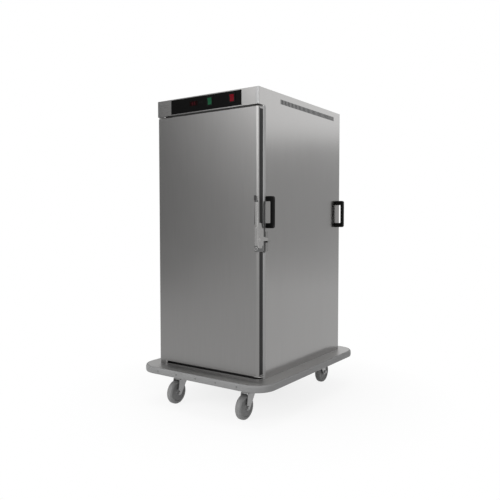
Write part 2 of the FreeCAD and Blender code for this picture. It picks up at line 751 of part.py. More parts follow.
def build_shell():
    """Side panels, rear panel, roof, head floor and the frame round the door opening."""
    build_side_panel("right_side_panel", 1)
    build_side_panel("left_side_panel", -1)
    across = (-INNER_EDGE, INNER_EDGE)
    rear = box("RearSheet", across, (BODY_REAR - steel, BODY_REAR), (TRAY_TOP, BODY_TOP))
    gland_z = HEAD_BOTTOM + head_height / 2
    gland_hole = rod("GlandHole", "y", gland_radius + fit, (gland_x, BODY_REAR - steel - OVER, gland_z),
                     steel + OVER * 2)
    piece("rear_panel", cut("RearPanel", rear, gland_hole))
    piece("top_cover", box("TopCover", across, (DOOR_FRONT + steel, BODY_REAR - steel),
                           (BODY_TOP - steel, BODY_TOP)))
    floor = box("HeadFloorSheet", across, (DOOR_FRONT + steel, BODY_REAR - steel),
                (HEAD_BOTTOM, HEAD_BOTTOM + steel))
    piece("head_floor", cut("HeadFloor", floor, *ceiling_holes(HEAD_BOTTOM - OVER, steel + OVER * 2)))
    frame_depth = (BODY_FRONT, BODY_FRONT + steel)
    inside = LINER_SIDE - steel
    strips = [box("FrameStile", ends, frame_depth, (TRAY_TOP, HEAD_BOTTOM))
              for ends in ((inside, INNER_EDGE), (-INNER_EDGE, -inside))]
    strips += [box("FrameRail", (-inside, inside), frame_depth, ends)
               for ends in ((TRAY_TOP, LINER_BOTTOM + steel), (LINER_TOP - steel, HEAD_BOTTOM))]
    piece("front_frame", group("FrontFrame", *strips))
    inner_end = BODY_REAR - steel - gland_inside
    length = gland_inside + steel + gland_outside
    tube = rod("GlandTube", "y", gland_radius, (gland_x, inner_end, gland_z), length)
    flange = rod("GlandFlange", "y", gland_flange_radius, (gland_x, BODY_REAR, gland_z), gland_flange)
    bore = rod("GlandBore", "y", gland_bore, (gland_x, inner_end - OVER, gland_z), length + OVER * 2)
    piece("cable_gland", cut("CableGland", fuse("GlandWhole", tube, flange), bore))


def ceiling_holes(bottom, length):
    """Clearance holes for the fan shaft and the heater's two legs, through one layer of the ceiling."""
    holes = [rod("ShaftHole", "z", fan_shaft + fan_shaft_gap, (0, FAN_Y, bottom), length)]
    for side in (-0.5, 0.5):
        leg = (heater_leg_pitch * side, FAN_Y + heater_radius, bottom)
        holes.append(rod("LegHole", "z", heater_tube + fit, leg, length))
    return holes


def build_chamber():
    """The inner chamber and the insulation panels between it and the shell."""
    inside = LINER_SIDE - steel
    depth = (LINER_FRONT, LINER_REAR)
    height = (LINER_BOTTOM, LINER_TOP)
    sheets = [box("LinerSide", ends, depth, height)
              for ends in ((inside, LINER_SIDE), (-LINER_SIDE, -inside))]
    across = (-inside, inside)
    sheets.append(box("LinerFloor", across, depth, (LINER_BOTTOM, LINER_BOTTOM + steel)))
    sheets.append(box("LinerRear", across, (LINER_REAR - steel, LINER_REAR),
                      (LINER_BOTTOM + steel, LINER_TOP - steel)))
    ceiling = box("LinerCeiling", across, depth, (LINER_TOP - steel, LINER_TOP))
    sheets.append(cut("LinerHoled", ceiling, *ceiling_holes(LINER_TOP - steel - OVER, steel + OVER * 2)))
    piece("inner_chamber", group("InnerChamber", *sheets))

    depth = (BODY_FRONT + steel + fit, BODY_REAR - steel - fit)
    rise = (TRAY_TOP + steel + fit, HEAD_BOTTOM - fit)
    slabs = [box("InsulationSide", ends, (BODY_FRONT + fold_radius, depth[1]), rise)
             for ends in ((fit + LINER_SIDE, SIDE - steel - fit), (fit + steel - SIDE, -LINER_SIDE - fit))]
    width = (-LINER_SIDE, LINER_SIDE)
    slabs.append(box("InsulationRear", width, (LINER_REAR + fit, depth[1]), rise))
    slabs.append(box("InsulationFloor", width, (depth[0], LINER_REAR), (rise[0], LINER_BOTTOM - fit)))
    lid = box("InsulationLid", width, (depth[0], LINER_REAR), (LINER_TOP + fit, rise[1]))
    slabs.append(cut("InsulationTop", lid, *ceiling_holes(LINER_TOP, insulation)))
    piece("insulation_panels", group("InsulationPanels", *slabs))


# Door

def build_door():
    """Door: folded skin with notched hinge corners, liner with a raised plug, insulation and gasket."""
    notch_x = DOOR_LEFT + hinge_leaf_width + fit
    notch_low = DOOR_BOTTOM + hinge_leaf_height + fit
    notch_high = DOOR_TOP - hinge_leaf_height - fit
    outline = [(notch_x, DOOR_BOTTOM), (DOOR_RIGHT, DOOR_BOTTOM), (DOOR_RIGHT, DOOR_TOP),
               (notch_x, DOOR_TOP), (notch_x, notch_high), (DOOR_LEFT, notch_high), (DOOR_LEFT, notch_low),
               (notch_x, notch_low)]
    skin = new_body("DoorSkin", 0, DOOR_FRONT)
    pad(skin, polygon(skin, "DoorOutline", "XZ_Plane", outline), door_thickness, back=True)
    fillet(skin, door_edge_radius, lambda e: along(e, Z) and abs(e.CenterOfMass.y - DOOR_FRONT.value) < 1e-3
           and not abs(e.CenterOfMass.x - notch_x.value) < 1e-3)
    rear = (DOOR_FRONT + door_thickness).value
    hollow(skin, steel, lambda f: abs(f.CenterOfMass.y - rear) < 1e-3)
    back = DOOR_FRONT + door_thickness
    strips = []
    for side, x, z in (("right", (DOOR_RIGHT - edge_profile, DOOR_RIGHT),
                        (DOOR_BOTTOM + edge_profile_bottom, DOOR_TOP - edge_profile_top)),
                       ("left", (DOOR_LEFT, DOOR_LEFT + edge_profile),
                        (notch_low + edge_profile_bottom, notch_high - edge_profile_bottom))):
        inner_x = x[0] if side == "right" else x[1]
        window = rectangle(skin, f"SkinWindow_{side}", "YZ_Plane",
                           (edge_profile_setback, door_thickness + OVER), z, inner_x)
        pocket(skin, window, back=side == "right")
        strips.append(box("EdgeProfile", x, (DOOR_FRONT + edge_profile_setback + fit, back - steel - fit),
                          (z[0] + fit, z[1] - fit)))
    piece("door_outer_skin", skin)
    piece("door_edge_profiles", group("EdgeProfiles", *strips))

    wall = steel + fit
    inset = [(notch_x + wall, DOOR_BOTTOM + wall), (DOOR_RIGHT - wall, DOOR_BOTTOM + wall),
             (DOOR_RIGHT - wall, DOOR_TOP - wall), (notch_x + wall, DOOR_TOP - wall),
             (notch_x + wall, notch_high - wall), (DOOR_LEFT + wall, notch_high - wall),
             (DOOR_LEFT + wall, notch_low + wall), (notch_x + wall, notch_low + wall)]
    liner = new_body("DoorLiner", 0, back)
    pad(liner, polygon(liner, "DoorLinerOutline", "XZ_Plane", inset), steel)
    plug_x = (steel - LINER_SIDE + plug_margin, LINER_SIDE - steel - plug_margin)
    plug_z = (LINER_BOTTOM + steel + plug_margin, LINER_TOP - steel - plug_margin)
    plug = rectangle(liner, "DoorPlug", "XZ_Plane", plug_x, plug_z)
    pad(liner, plug, door_gap + plug_depth, back=True)
    face = (back + door_gap + plug_depth).value
    fillet(liner, plug_depth, lambda e: abs(e.CenterOfMass.y - face) < 1e-3)
    rim = plug_depth + steel
    recess = rectangle(liner, "DoorPlugRecess", "XZ_Plane", (plug_x[0] + rim, plug_x[1] - rim),
                       (plug_z[0] + rim, plug_z[1] - rim), steel)
    pocket(liner, recess, door_gap + plug_depth)
    piece("door_inner_liner", liner)

    core = new_body("DoorCore", 0, DOOR_FRONT + steel + fit)
    narrowed = [(x + door_edge_radius if x.value < 0 else x - door_edge_radius, z) for x, z in inset]
    pad(core, polygon(core, "DoorCoreOutline", "XZ_Plane", narrowed), door_thickness - steel * 2 - fit * 2,
        back=True)
    piece("door_insulation", core)

    spread = gasket_inset + gasket_width
    ring_x = (steel - LINER_SIDE - spread, LINER_SIDE - steel + spread)
    ring_z = (LINER_BOTTOM + steel - spread, LINER_TOP - steel + spread)
    outer = box("GasketOuter", ring_x, (back, BODY_FRONT - fit), ring_z)
    inner = box("GasketInner", (ring_x[0] + gasket_width, ring_x[1] - gasket_width),
                (back - OVER, BODY_FRONT + OVER), (ring_z[0] + gasket_width, ring_z[1] - gasket_width))
    piece("door_gasket", cut("DoorGasket", outer, inner))


def build_hinges():
    """Pivot hinges at the door's left corners: brackets on the body, pins, and bushed leaves in the door."""
    plate_x = (DOOR_LEFT, DOOR_LEFT + hinge_leaf_width)
    plate_y = (DOOR_FRONT + bracket_setback, BODY_FRONT - fit)
    pin_hole = hinge_pin_radius + running_gap
    pins = []
    for label, low, high, pin_low in (
            ("top", HEAD_BOTTOM - hinge_plate, HEAD_BOTTOM, DOOR_TOP - hinge_pin_reach),
            ("bottom", TRAY_TOP, DOOR_BOTTOM - fit, TRAY_TOP + pin_foot)):
        pin_length = hinge_pin_reach + (door_head_gap if label == "top" else door_floor_gap - pin_foot)
        bracket = new_body(f"HingeBracket_{label}", 0, 0, low)
        pad(bracket, rectangle(bracket, f"BracketPlan_{label}", "XY_Plane", plate_x, plate_y), high - low)
        fillet(bracket, bracket_round, lambda e: along(e, Z) and e.CenterOfMass.y < plate_y[0].value + 1)
        hole = circle(bracket, f"BracketHole_{label}", "XY_Plane", (HINGE_X, HINGE_Y), pin_hole)
        pocket(bracket, hole, middle=True)
        piece(f"hinge_bracket_{label}", bracket)
        pins.append(rod("HingePin", "z", hinge_pin_radius, (HINGE_X, HINGE_Y, pin_low), pin_length))
        leaf_low = DOOR_TOP - hinge_leaf_height if label == "top" else DOOR_BOTTOM
        leaf = new_body(f"HingeLeaf_{label}", 0, 0, leaf_low)
        pad(leaf, rectangle(leaf, f"LeafPlan_{label}", "XY_Plane", plate_x,
                            (DOOR_FRONT, DOOR_FRONT + door_thickness)), hinge_leaf_height)
        fillet(leaf, door_edge_radius, lambda e: along(e, Z) and e.CenterOfMass.x < DOOR_LEFT.value + 1
               and e.CenterOfMass.y < DOOR_FRONT.value + 1)
        hole = circle(leaf, f"LeafHole_{label}", "XY_Plane", (HINGE_X, HINGE_Y), pin_hole)
        pocket(leaf, hole, middle=True)
        piece(f"door_hinge_leaf_{label}", leaf)
    piece("hinge_pins", group("HingePins", *pins))


def build_latch():
    """Door latch: wrap-round body on the door, swinging lever with its tongue, lock cylinder and keeper."""
    right = DOOR_RIGHT + fit + latch_wrap_sheet
    left = right - latch_width
    front = DOOR_FRONT - latch_depth
    rear = DOOR_FRONT + latch_wrap
    plan = [(left, front), (right, front), (right, rear), (DOOR_RIGHT + fit, rear),
            (DOOR_RIGHT + fit, DOOR_FRONT), (left, DOOR_FRONT)]
    body = new_body("LatchBody", 0, 0, latch_bottom)
    pad(body, polygon(body, "LatchPlan", "XY_Plane", plan), latch_height)
    fillet(body, latch_corner, lambda e: along(e, Y) and e.CenterOfMass.x < left.value + 1
           or along(e, X) and e.CenterOfMass.y > rear.value - 1)
    fillet(body, latch_round, lambda e: e.BoundBox.YMax < front.value + 1e-3)
    bore_radius = latch_pivot_radius + running_gap
    bore = circle(body, "LatchBore", "YZ_Plane", (PIVOT_Y, latch_pivot_height), bore_radius)
    pocket(body, bore, middle=True)
    lock_x = left + lock_inset
    lock_z = latch_bottom + lock_drop
    lock = circle(body, "LockBore", "XZ_Plane", (lock_x, lock_drop), lock_radius + running_gap, -front)
    pocket(body, lock, lock_depth)
    piece("latch_body", body)

    plug = rod("LockPlug", "y", lock_radius, (lock_x, front - lock_proud, lock_z), lock_depth)
    slot = box("KeySlot", (lock_x - key_slot_width / 2, lock_x + key_slot_width / 2),
               (front - lock_proud - OVER, front - lock_proud + key_slot_depth),
               (lock_z - key_slot_height / 2, lock_z + key_slot_height / 2))
    piece("lock_cylinder", cut("LockCylinder", plug, slot))

    lever = new_body("LatchLever", LEVER_LEFT)
    cross_low = latch_bottom + latch_height + lever_lift
    cross = (cross_low, cross_low + lever_cross)
    lever_top = cross_low + lever_grip_length
    grip_y = (front - lever_grip_sheet, front)
    slope = lever_grip_lean / lever_grip_length
    bend = slope * lever_cross
    root = grip_y[0] + lever_root
    tongue = PIVOT_Z - lever_tongue_drop
    tongue_end = PIVOT_Y + lever_tongue
    profile = [(PIVOT_Y - lever_foot_front, PIVOT_Z - lever_foot_drop),
               (PIVOT_Y + lever_foot_rear, PIVOT_Z - lever_foot_drop), (PIVOT_Y + lever_knee, tongue),
               (tongue_end, tongue), (tongue_end, tongue + lever_tongue_height),
               (PIVOT_Y + lever_knee, PIVOT_Z + lever_neck), (PIVOT_Y + lever_neck, cross[1]),
               (root - bend, cross[1]), (root, cross[0])]
    pad(lever, polygon(lever, "LeverSide", "YZ_Plane", profile), lever_sheet)
    fillet(lever, lever_corner, lambda e: along(e, X) and e.CenterOfMass.y > root.value + 1)
    pivot = circle(lever, "LeverPivot", "YZ_Plane", (PIVOT_Y, PIVOT_Z), latch_pivot_radius)
    pad(lever, pivot, latch_width - lever_pivot_gap, back=True)
    grip = [(grip_y[0], cross[0]), (grip_y[1], cross[0])] + [(y - lever_grip_lean, lever_top)
                                                             for y in reversed(grip_y)]
    pad(lever, polygon(lever, "LeverGrip", "YZ_Plane", grip, lever_sheet + lever_proud), lever_grip_width,
        back=True)

    def on_grip_front(edge):
        """Whether an edge lies on the leaning front face of the grip, above its foot."""
        rise = edge.CenterOfMass.z - cross_low.value
        return rise > OVER and abs(edge.CenterOfMass.y - grip_y[0].value + slope.value * rise) < OVER

    fillet(lever, lever_grip_corner, lambda e: along(e, Y) and e.CenterOfMass.z > lever_top.value - OVER)
    fillet(lever, lever_grip_round, on_grip_front)
    piece("latch_lever", lever)

    keeper_y = BODY_FRONT + fold_radius + keeper_setback
    plate = box("KeeperPlate", (SIDE, SIDE + keeper_sheet), (keeper_y, keeper_y + keeper_width),
                (latch_bottom, latch_bottom + keeper_height))
    shelf = box("KeeperShelf", (SIDE + keeper_sheet, SIDE + keeper_sheet + keeper_shelf),
                (keeper_y + keeper_margin, keeper_y + keeper_width - keeper_margin),
                (tongue - fit - keeper_shelf_height, tongue - fit))
    piece("latch_keeper", fuse("LatchKeeper", plate, shelf))


# Control head

def build_controls():
    """Fascia, black control panel, display, two rocker switches and the circuit board behind them."""
    switch_half = (switch_width / 2, switch_height / 2)
    hole_half = (switch_half[0] + switch_wall, switch_half[1] + switch_wall)
    display_half = (display_width / 2, display_height / 2)
    holes = [(power_switch_x, hole_half), (heat_switch_x, hole_half), (display_x, display_half)]

    def block(name, x, half, y, grow=0):
        """A block centred on a switch or on the display."""
        return box(name, (x - half[0] - grow, x + half[0] + grow), y,
                   (SWITCH_Z - half[1] - grow, SWITCH_Z + half[1] + grow))

    inner_face = DOOR_FRONT + steel
    fascia = box("FasciaSheet", (-INNER_EDGE, INNER_EDGE), (DOOR_FRONT, inner_face), (HEAD_BOTTOM, BODY_TOP))
    through = (DOOR_FRONT - OVER, inner_face + OVER)
    openings = [block("FasciaHole", x, half, through, fit) for x, half in holes]
    piece("control_fascia", cut("ControlFascia", fascia, *openings))
    face = box("PanelFace", (-panel_width / 2, panel_width / 2), (PANEL_FRONT, DOOR_FRONT),
               (PANEL_TOP - panel_height, PANEL_TOP))
    through = (PANEL_FRONT - OVER, DOOR_FRONT + OVER)
    openings = [block("PanelHole", x, half, through, fit) for x, half in holes]
    piece("control_panel", cut("ControlPanel", face, *openings))

    board_y = inner_face + display_depth
    lens = block("DisplayLens", display_x, display_half, (PANEL_FRONT, inner_face))
    case = block("DisplayCase", display_x, display_half, (inner_face, board_y), display_rim)
    piece("display_module", fuse("DisplayModule", lens, case))

    bezels = []
    pivot_y = PANEL_FRONT + switch_pin_depth
    for name, switch_x in (("power", power_switch_x), ("heat", heat_switch_x)):
        rim = block("BezelRim", switch_x, hole_half, (PANEL_FRONT - switch_proud, PANEL_FRONT), switch_rim)
        tube = block("BezelTube", switch_x, hole_half, (PANEL_FRONT, PANEL_FRONT + switch_depth))
        bore = block("BezelBore", switch_x, (switch_half[0], switch_half[1] + fit),
                     (PANEL_FRONT - switch_proud - OVER, PANEL_FRONT + switch_depth + OVER), fit)
        pin_hole = rod("BezelPinHole", "x", switch_pin + running_gap,
                       (switch_x - hole_half[0], pivot_y, SWITCH_Z), hole_half[0] * 2)
        bezels.append(cut(f"Bezel_{name}", fuse("BezelWhole", rim, tube), bore, pin_hole))

        rocker = doc.addObject("PartDesign::Body", f"Rocker_{name}")
        tip = switch_half[1] - switch_tip_gap
        side = [(-rocker_horn, -tip), (-rocker_dip, 0), (-rocker_horn, tip), (rocker_tail, tip),
                (rocker_belly, 0), (rocker_tail, -tip)]
        pad(rocker, polygon(rocker, f"RockerSide_{name}", "YZ_Plane", side), switch_width, middle=True)
        fillet(rocker, rocker_round, lambda e: along(e, X) and e.CenterOfMass.y < -rocker_dip.value - 1)
        stub = circle(rocker, f"RockerPin_{name}", "YZ_Plane", (0, 0), switch_pin)
        pad(rocker, stub, hole_half[0] * 2 - OVER, middle=True)
        rocker.Placement = Placement(Vector(), Rotation(X, switch_tilt.value))
        place(rocker, switch_x, pivot_y, SWITCH_Z)
        bind(rocker, "Placement.Rotation.Angle", switch_tilt)
        piece(f"{name}_rocker", rocker)
    piece("switch_bezels", group("SwitchBezels", *bezels))

    board_back = board_y + board_sheet
    board = box("BoardSheet", (display_x - board_width / 2, display_x + board_width / 2),
                (board_y, board_back), (HEAD_BOTTOM + steel, BODY_TOP - steel - board_headroom))
    relay = block("BoardRelay", display_x + relay_width / 2 + board_gap, (relay_width / 2, relay_height / 2),
                  (board_back, board_back + relay_depth))
    core = transformer_size / 2
    transformer = block("BoardTransformer", display_x - core, (core, core),
                        (board_back, board_back + transformer_depth))
    piece("control_board", fuse("ControlBoard", board, relay, transformer))


# Heating

def build_heating():
    """Fan motor in the head, its wheel under the ceiling, the heater loop round it, baffle and probe."""
    top = HEAD_BOTTOM + steel
    ceiling = LINER_TOP - steel
    fan_top = ceiling - fan_ceiling_gap
    motor = rod("MotorCan", "z", motor_radius, (0, FAN_Y, top), motor_height)
    shaft = rod("MotorShaft", "z", fan_shaft, (0, FAN_Y, fan_top - fan_height), top - fan_top + fan_height)
    piece("fan_motor", fuse("FanMotor", motor, shaft))

    wheel = new_body("FanWheel", 0, FAN_Y, fan_top - fan_height)
    bore = fan_shaft + running_gap
    disc_low = fan_height - fan_disc
    pad(wheel, circle(wheel, "FanHub", "XY_Plane", (0, 0), bore + fan_hub_wall), fan_height - fit)
    pad(wheel, circle(wheel, "FanDisc", "XY_Plane", (0, 0), fan_radius, disc_low), fan_disc - fit)
    blade = rectangle(wheel, "FanBlade", "XY_Plane", (fan_radius - fan_blade_length, fan_radius - fan_disc),
                      (-fan_blade_sheet / 2, fan_blade_sheet / 2))
    turn_round(wheel, pad(wheel, blade, disc_low + fan_disc / 2), fan_blades)
    pocket(wheel, circle(wheel, "FanBore", "XY_Plane", (0, 0), bore), middle=True)
    piece("fan_wheel", wheel)

    loop_z = fan_top - fan_height / 2
    loop = new_body("HeaterLoop", 0, FAN_Y, loop_z)
    flat = heater_tube * 0.41
    section = [(-flat, -heater_tube), (flat, -heater_tube), (heater_tube, -flat), (heater_tube, flat),
               (flat, heater_tube), (-flat, heater_tube), (-heater_tube, flat), (-heater_tube, -flat)]
    ring = polygon(loop, "HeaterSection", "XZ_Plane", [(heater_radius + x, z) for x, z in section])
    revolve(loop, ring, "V_Axis")
    legs = [rod("HeaterLeg", "z", heater_tube, (heater_leg_pitch * step, FAN_Y + heater_radius, loop_z),
                top + heater_leg_rise - loop_z) for step in (-0.5, 0.5)]
    piece("heater_element", fuse("HeaterElement", loop, *legs))

    back = LINER_REAR - steel
    depth = (LINER_FRONT + baffle_end_gap, back - baffle_end_gap)
    outer = box("BaffleOuter", (-baffle_half_width, baffle_half_width), depth, (BAFFLE_Z, ceiling))
    inner = box("BaffleInner", (steel - baffle_half_width, baffle_half_width - steel),
                (depth[0] - OVER, depth[1] + OVER), (BAFFLE_Z + steel, ceiling + OVER))
    inlet = rod("BaffleInlet", "z", fan_radius - baffle_inlet_margin, (0, FAN_Y, BAFFLE_Z - OVER),
                steel + OVER * 2)
    slots = []
    for middle in (FAN_Y + baffle_slot_pitch * step for step in range(-4, 5)):
        for ends in ((-baffle_half_width - OVER, steel * 2 - baffle_half_width),
                     (baffle_half_width - steel * 2, baffle_half_width + OVER)):
            slots.append(box("BaffleSlot", ends, (middle - baffle_slot / 2, middle + baffle_slot / 2),
                             (BAFFLE_Z + baffle_slot_margin, ceiling - baffle_slot_margin)))
    piece("ceiling_baffle", cut("CeilingBaffle", outer, inner, inlet, *slots))

    probe_z = BAFFLE_Z - probe_drop
    seat = back - probe_flange
    stem = rod("ProbeStem", "y", probe_radius, (probe_x, seat - probe_length, probe_z), probe_length)
    flange = rod("ProbeFlange", "y", probe_flange_radius, (probe_x, seat, probe_z), probe_flange)
    piece("temperature_probe", fuse("TemperatureProbe", stem, flange))


# Runners

def build_runners():
    """Tray runners: two uprights on each wall and a ladder of angle runners hung on them."""
    wall = LINER_SIDE - steel
    floor = LINER_BOTTOM + steel
    upright_top = floor + runner_first + runner_pitch * (runner_count - 1) + upright_rise
    uprights = []
    for sign in (-1, 1):
        ends = (wall - upright_sheet, wall) if sign > 0 else (-wall, upright_sheet - wall)
        for y in (LINER_FRONT + upright_setback, LINER_REAR - steel - upright_setback - upright_width):
            uprights.append(box("RunnerUpright", ends, (y, y + upright_width), (floor, upright_top)))
    piece("rack_uprights", group("RackUprights", *uprights))
    face = wall - upright_sheet
    for label, sign in (("left", -1), ("right", 1)):
        runners = []
        run = (LINER_FRONT + runner_front_gap, LINER_REAR - steel - runner_rear_gap)
        web_x = (face - runner_sheet, face)
        ledge_x = (face - runner_ledge, face - runner_sheet)
        if sign < 0:
            web_x, ledge_x = [(-ends[1], -ends[0]) for ends in (web_x, ledge_x)]
        for step in range(runner_count):
            z = floor + runner_first + runner_pitch * step
            web = box("RunnerWeb", web_x, run, (z, z + runner_web))
            ledge = box("RunnerLedge", ledge_x, run, (z, z + runner_sheet))
            runners.append(fuse(f"Runner_{label}", web, ledge))
        piece(f"tray_runners_{label}", group(f"TrayRunners_{label}", *runners))


# Push handles

def build_handles():
    """Two bridge handles on the right side: a grip on two feet, with a sunk screw through each foot."""
    screws = []
    for label, low_y in (("front", BODY_FRONT + handle_front_inset),
                         ("rear", BODY_REAR - handle_rear_inset - handle_depth)):
        body = new_body(f"Handle_{label}", SIDE, low_y + handle_depth, handle_bottom)
        extent = ((0, handle_reach), (0, handle_length))
        pad(body, rectangle(body, f"HandleOutline_{label}", "XZ_Plane", *extent), handle_depth)
        fillet(body, handle_corner, lambda e: along(e, Y) and e.CenterOfMass.x > SIDE.value + 1)
        gap = rectangle(body, f"HandleGap_{label}", "XZ_Plane", (-OVER, handle_reach - handle_grip),
                        (handle_foot, handle_length - handle_foot))
        pocket(body, gap, middle=True)
        gap_end = (SIDE + handle_reach - handle_grip).value
        fillet(body, handle_gap_corner, lambda e: along(e, Y) and abs(e.CenterOfMass.x - gap_end) < 1e-3)
        fillet(body, handle_round, lambda e: not along(e, Y) and e.CenterOfMass.x > SIDE.value + 1)
        seat = handle_reach - handle_screw_sink
        for z in (handle_foot / 2, handle_length - handle_foot / 2):
            centre = (-handle_depth / 2, z)
            hole = circle(body, f"HandleHole_{label}", "YZ_Plane", centre, handle_screw_radius + fit)
            pocket(body, hole, handle_reach + OVER, back=True)
            sink = circle(body, f"HandleSink_{label}", "YZ_Plane", centre, handle_screw_head_radius + fit, seat)
            pocket(body, sink, handle_screw_sink + OVER, back=True)
            at = (SIDE, low_y + handle_depth / 2, handle_bottom + z)
            shank = rod("HandleShank", "x", handle_screw_radius, at, seat)
            head = rod("HandleHead", "x", handle_screw_head_radius, (SIDE + seat, at[1], at[2]),
                       handle_screw_head)
            screws.append(fuse("HandleScrew", shank, head))
        piece(f"push_handle_{label}", body)
    piece("handle_screws", group("HandleScrews", *screws))


def main():
    """Builds every sub-part, checks each one and writes its STEP file."""
    build_base()
    for corner, sign_x, sign_y in (("fl", -1, -1), ("fr", 1, -1), ("rl", -1, 1), ("rr", 1, 1)):
        build_caster(corner, sign_x, sign_y)
    build_caster_plates()
    build_shell()
    build_chamber()
    build_door()
    build_hinges()
    build_latch()
    build_controls()
    build_heating()
    build_runners()
    build_handles()
    doc.recompute()
    for item in doc.Objects:
        if "Invalid" in item.State or "Error" in item.State:
            raise RuntimeError(f"{item.Label} failed: {item.State}")
    os.makedirs("parts", exist_ok=True)
    for item in pieces:
        if item.Shape.isNull() or not item.Shape.isValid():
            raise RuntimeError(f"{item.Label} has no valid shape")
    for item in pieces:
        item.Shape.exportStep(os.path.join("parts", f"{item.Label}.step"))
    print(len(pieces), "sub-parts written")


main()
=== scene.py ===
# %% [markdown]
# # A mobile heated holding cabinet
# The cabinet keeps trays of food hot while it is wheeled from the kitchen to the dining room. Its solids
# come from the CAD frame, which fixes every size. This lesson dresses them: it sets up the camera and the
# studio, gives each part its finish, and makes the small rounded parts that sheet metal drawings leave out.

# %% Frame
import math
from collections import namedtuple

import bmesh
import bpy
import numpy as np
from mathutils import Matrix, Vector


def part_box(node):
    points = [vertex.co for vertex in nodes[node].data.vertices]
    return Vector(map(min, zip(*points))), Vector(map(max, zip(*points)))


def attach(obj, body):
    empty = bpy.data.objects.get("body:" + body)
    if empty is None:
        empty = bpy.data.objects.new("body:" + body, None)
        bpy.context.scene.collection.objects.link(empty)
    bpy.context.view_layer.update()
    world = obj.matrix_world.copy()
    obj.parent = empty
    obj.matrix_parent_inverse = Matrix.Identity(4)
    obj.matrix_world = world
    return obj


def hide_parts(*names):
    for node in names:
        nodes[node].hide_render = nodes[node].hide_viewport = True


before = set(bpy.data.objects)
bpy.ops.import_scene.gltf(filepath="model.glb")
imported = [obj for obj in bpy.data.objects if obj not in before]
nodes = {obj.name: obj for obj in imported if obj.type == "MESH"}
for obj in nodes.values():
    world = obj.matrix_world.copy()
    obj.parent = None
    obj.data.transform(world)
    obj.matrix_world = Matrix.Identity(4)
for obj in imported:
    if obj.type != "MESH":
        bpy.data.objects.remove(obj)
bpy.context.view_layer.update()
scene = bpy.context.scene

# %% [markdown]
# ## Camera
# The picture is square, 500 pixels wide. The vanishing points of the photograph give the lens and the
# angle: the camera stands to the right of the door, a little under a metre high, and looks slightly down.
# Blender turns a camera from looking straight down, so a level view is a tilt of 90 degrees.

# %% Camera
CAMERA_PLACE = (1.8394, -2.6985, 0.9802)
CAMERA_TURN = 34.65
CAMERA_DROP = 2.8
LEVEL_TILT = 90
LENS = 41.13
SENSOR = 36

lens = bpy.data.cameras.new("camera")
lens.lens = LENS
lens.sensor_width = SENSOR
camera = bpy.data.objects.new("camera", lens)
camera.location = CAMERA_PLACE
camera.rotation_euler = (math.radians(LEVEL_TILT - CAMERA_DROP), 0, math.radians(CAMERA_TURN))
scene.collection.objects.link(camera)
scene.camera = camera
scene.view_settings.view_transform = "Standard"
print("camera at", CAMERA_PLACE)

# %% [markdown]
# ## Shader maths
# A finish is a small calculation that runs at every point of a surface. Wiring it by hand takes many nodes,
# so one class wraps an output socket and turns Python's operators into Math nodes. A second one owns a node
# tree and adds any other node that is asked for.


# %% Shader maths
def feed(tree, socket, value):
    """Puts a number, a colour or another node's output into an input socket."""
    if isinstance(value, Signal):
        tree.links.new(value.socket, socket)
    else:
        socket.default_value = value


class Signal:
    """One output socket that takes part in arithmetic."""

    def __init__(self, tree, socket):
        self.tree = tree
        self.socket = socket

    def math(self, operation, *values):
        """A Math node on the values, in their order."""
        node = self.tree.nodes.new("ShaderNodeMath")
        node.operation = operation
        for socket, value in zip(node.inputs, values):
            feed(self.tree, socket, value)
        return Signal(self.tree, node.outputs[0])

    def __add__(self, other):
        return self.math("ADD", self, other)

    def __sub__(self, other):
        return self.math("SUBTRACT", self, other)

    def __rsub__(self, other):
        return self.math("SUBTRACT", other, self)

    def __mul__(self, other):
        return self.math("MULTIPLY", self, other)

    __radd__ = __add__
    __rmul__ = __mul__

    def near(self, middle, half):
        """1 where the value is within half of the middle, and 0 elsewhere."""
        return self.math("COMPARE", self, middle, half)

    def at_most(self, top):
        """The value or the top, whichever is less."""
        return self.math("MINIMUM", self, top)


class Tree:
    """A node tree that hands out signals."""

    def __init__(self, tree):
        self.tree = tree

    def make(self, kind, settings, inputs, output=0):
        """Adds a node, sets it up, fills its sockets and returns one of its outputs."""
        node = self.tree.nodes.new(kind)
        for name, value in settings.items():
            setattr(node, name, value)
        for name, value in inputs.items():
            feed(self.tree, node.inputs[name], value)
        return Signal(self.tree, node.outputs[output])

    def blend(self, factor, low, high):
        """A colour between two: low times (1 - factor) plus high times factor."""
        return self.make("ShaderNodeMix", {"data_type": "RGBA"}, {0: factor, 6: low, 7: high}, 2)


def grey(level, warm=0.0):
    """An RGBA grey, a little warmer or cooler."""
    return (level * (1 + warm), level, level * (1 - warm), 1)


print("a warm grey", grey(0.5, 0.01))

# %% [markdown]
# ## Finishes
# A finish is a material round Blender's Principled shader, which covers metal, plastic and rubber alike.
# Patterns are placed by Object coordinates, in metres from the cabinet's own origin, so they stay on their
# part when it moves.

# %% Finishes
UNIT = (1, 1, 1)


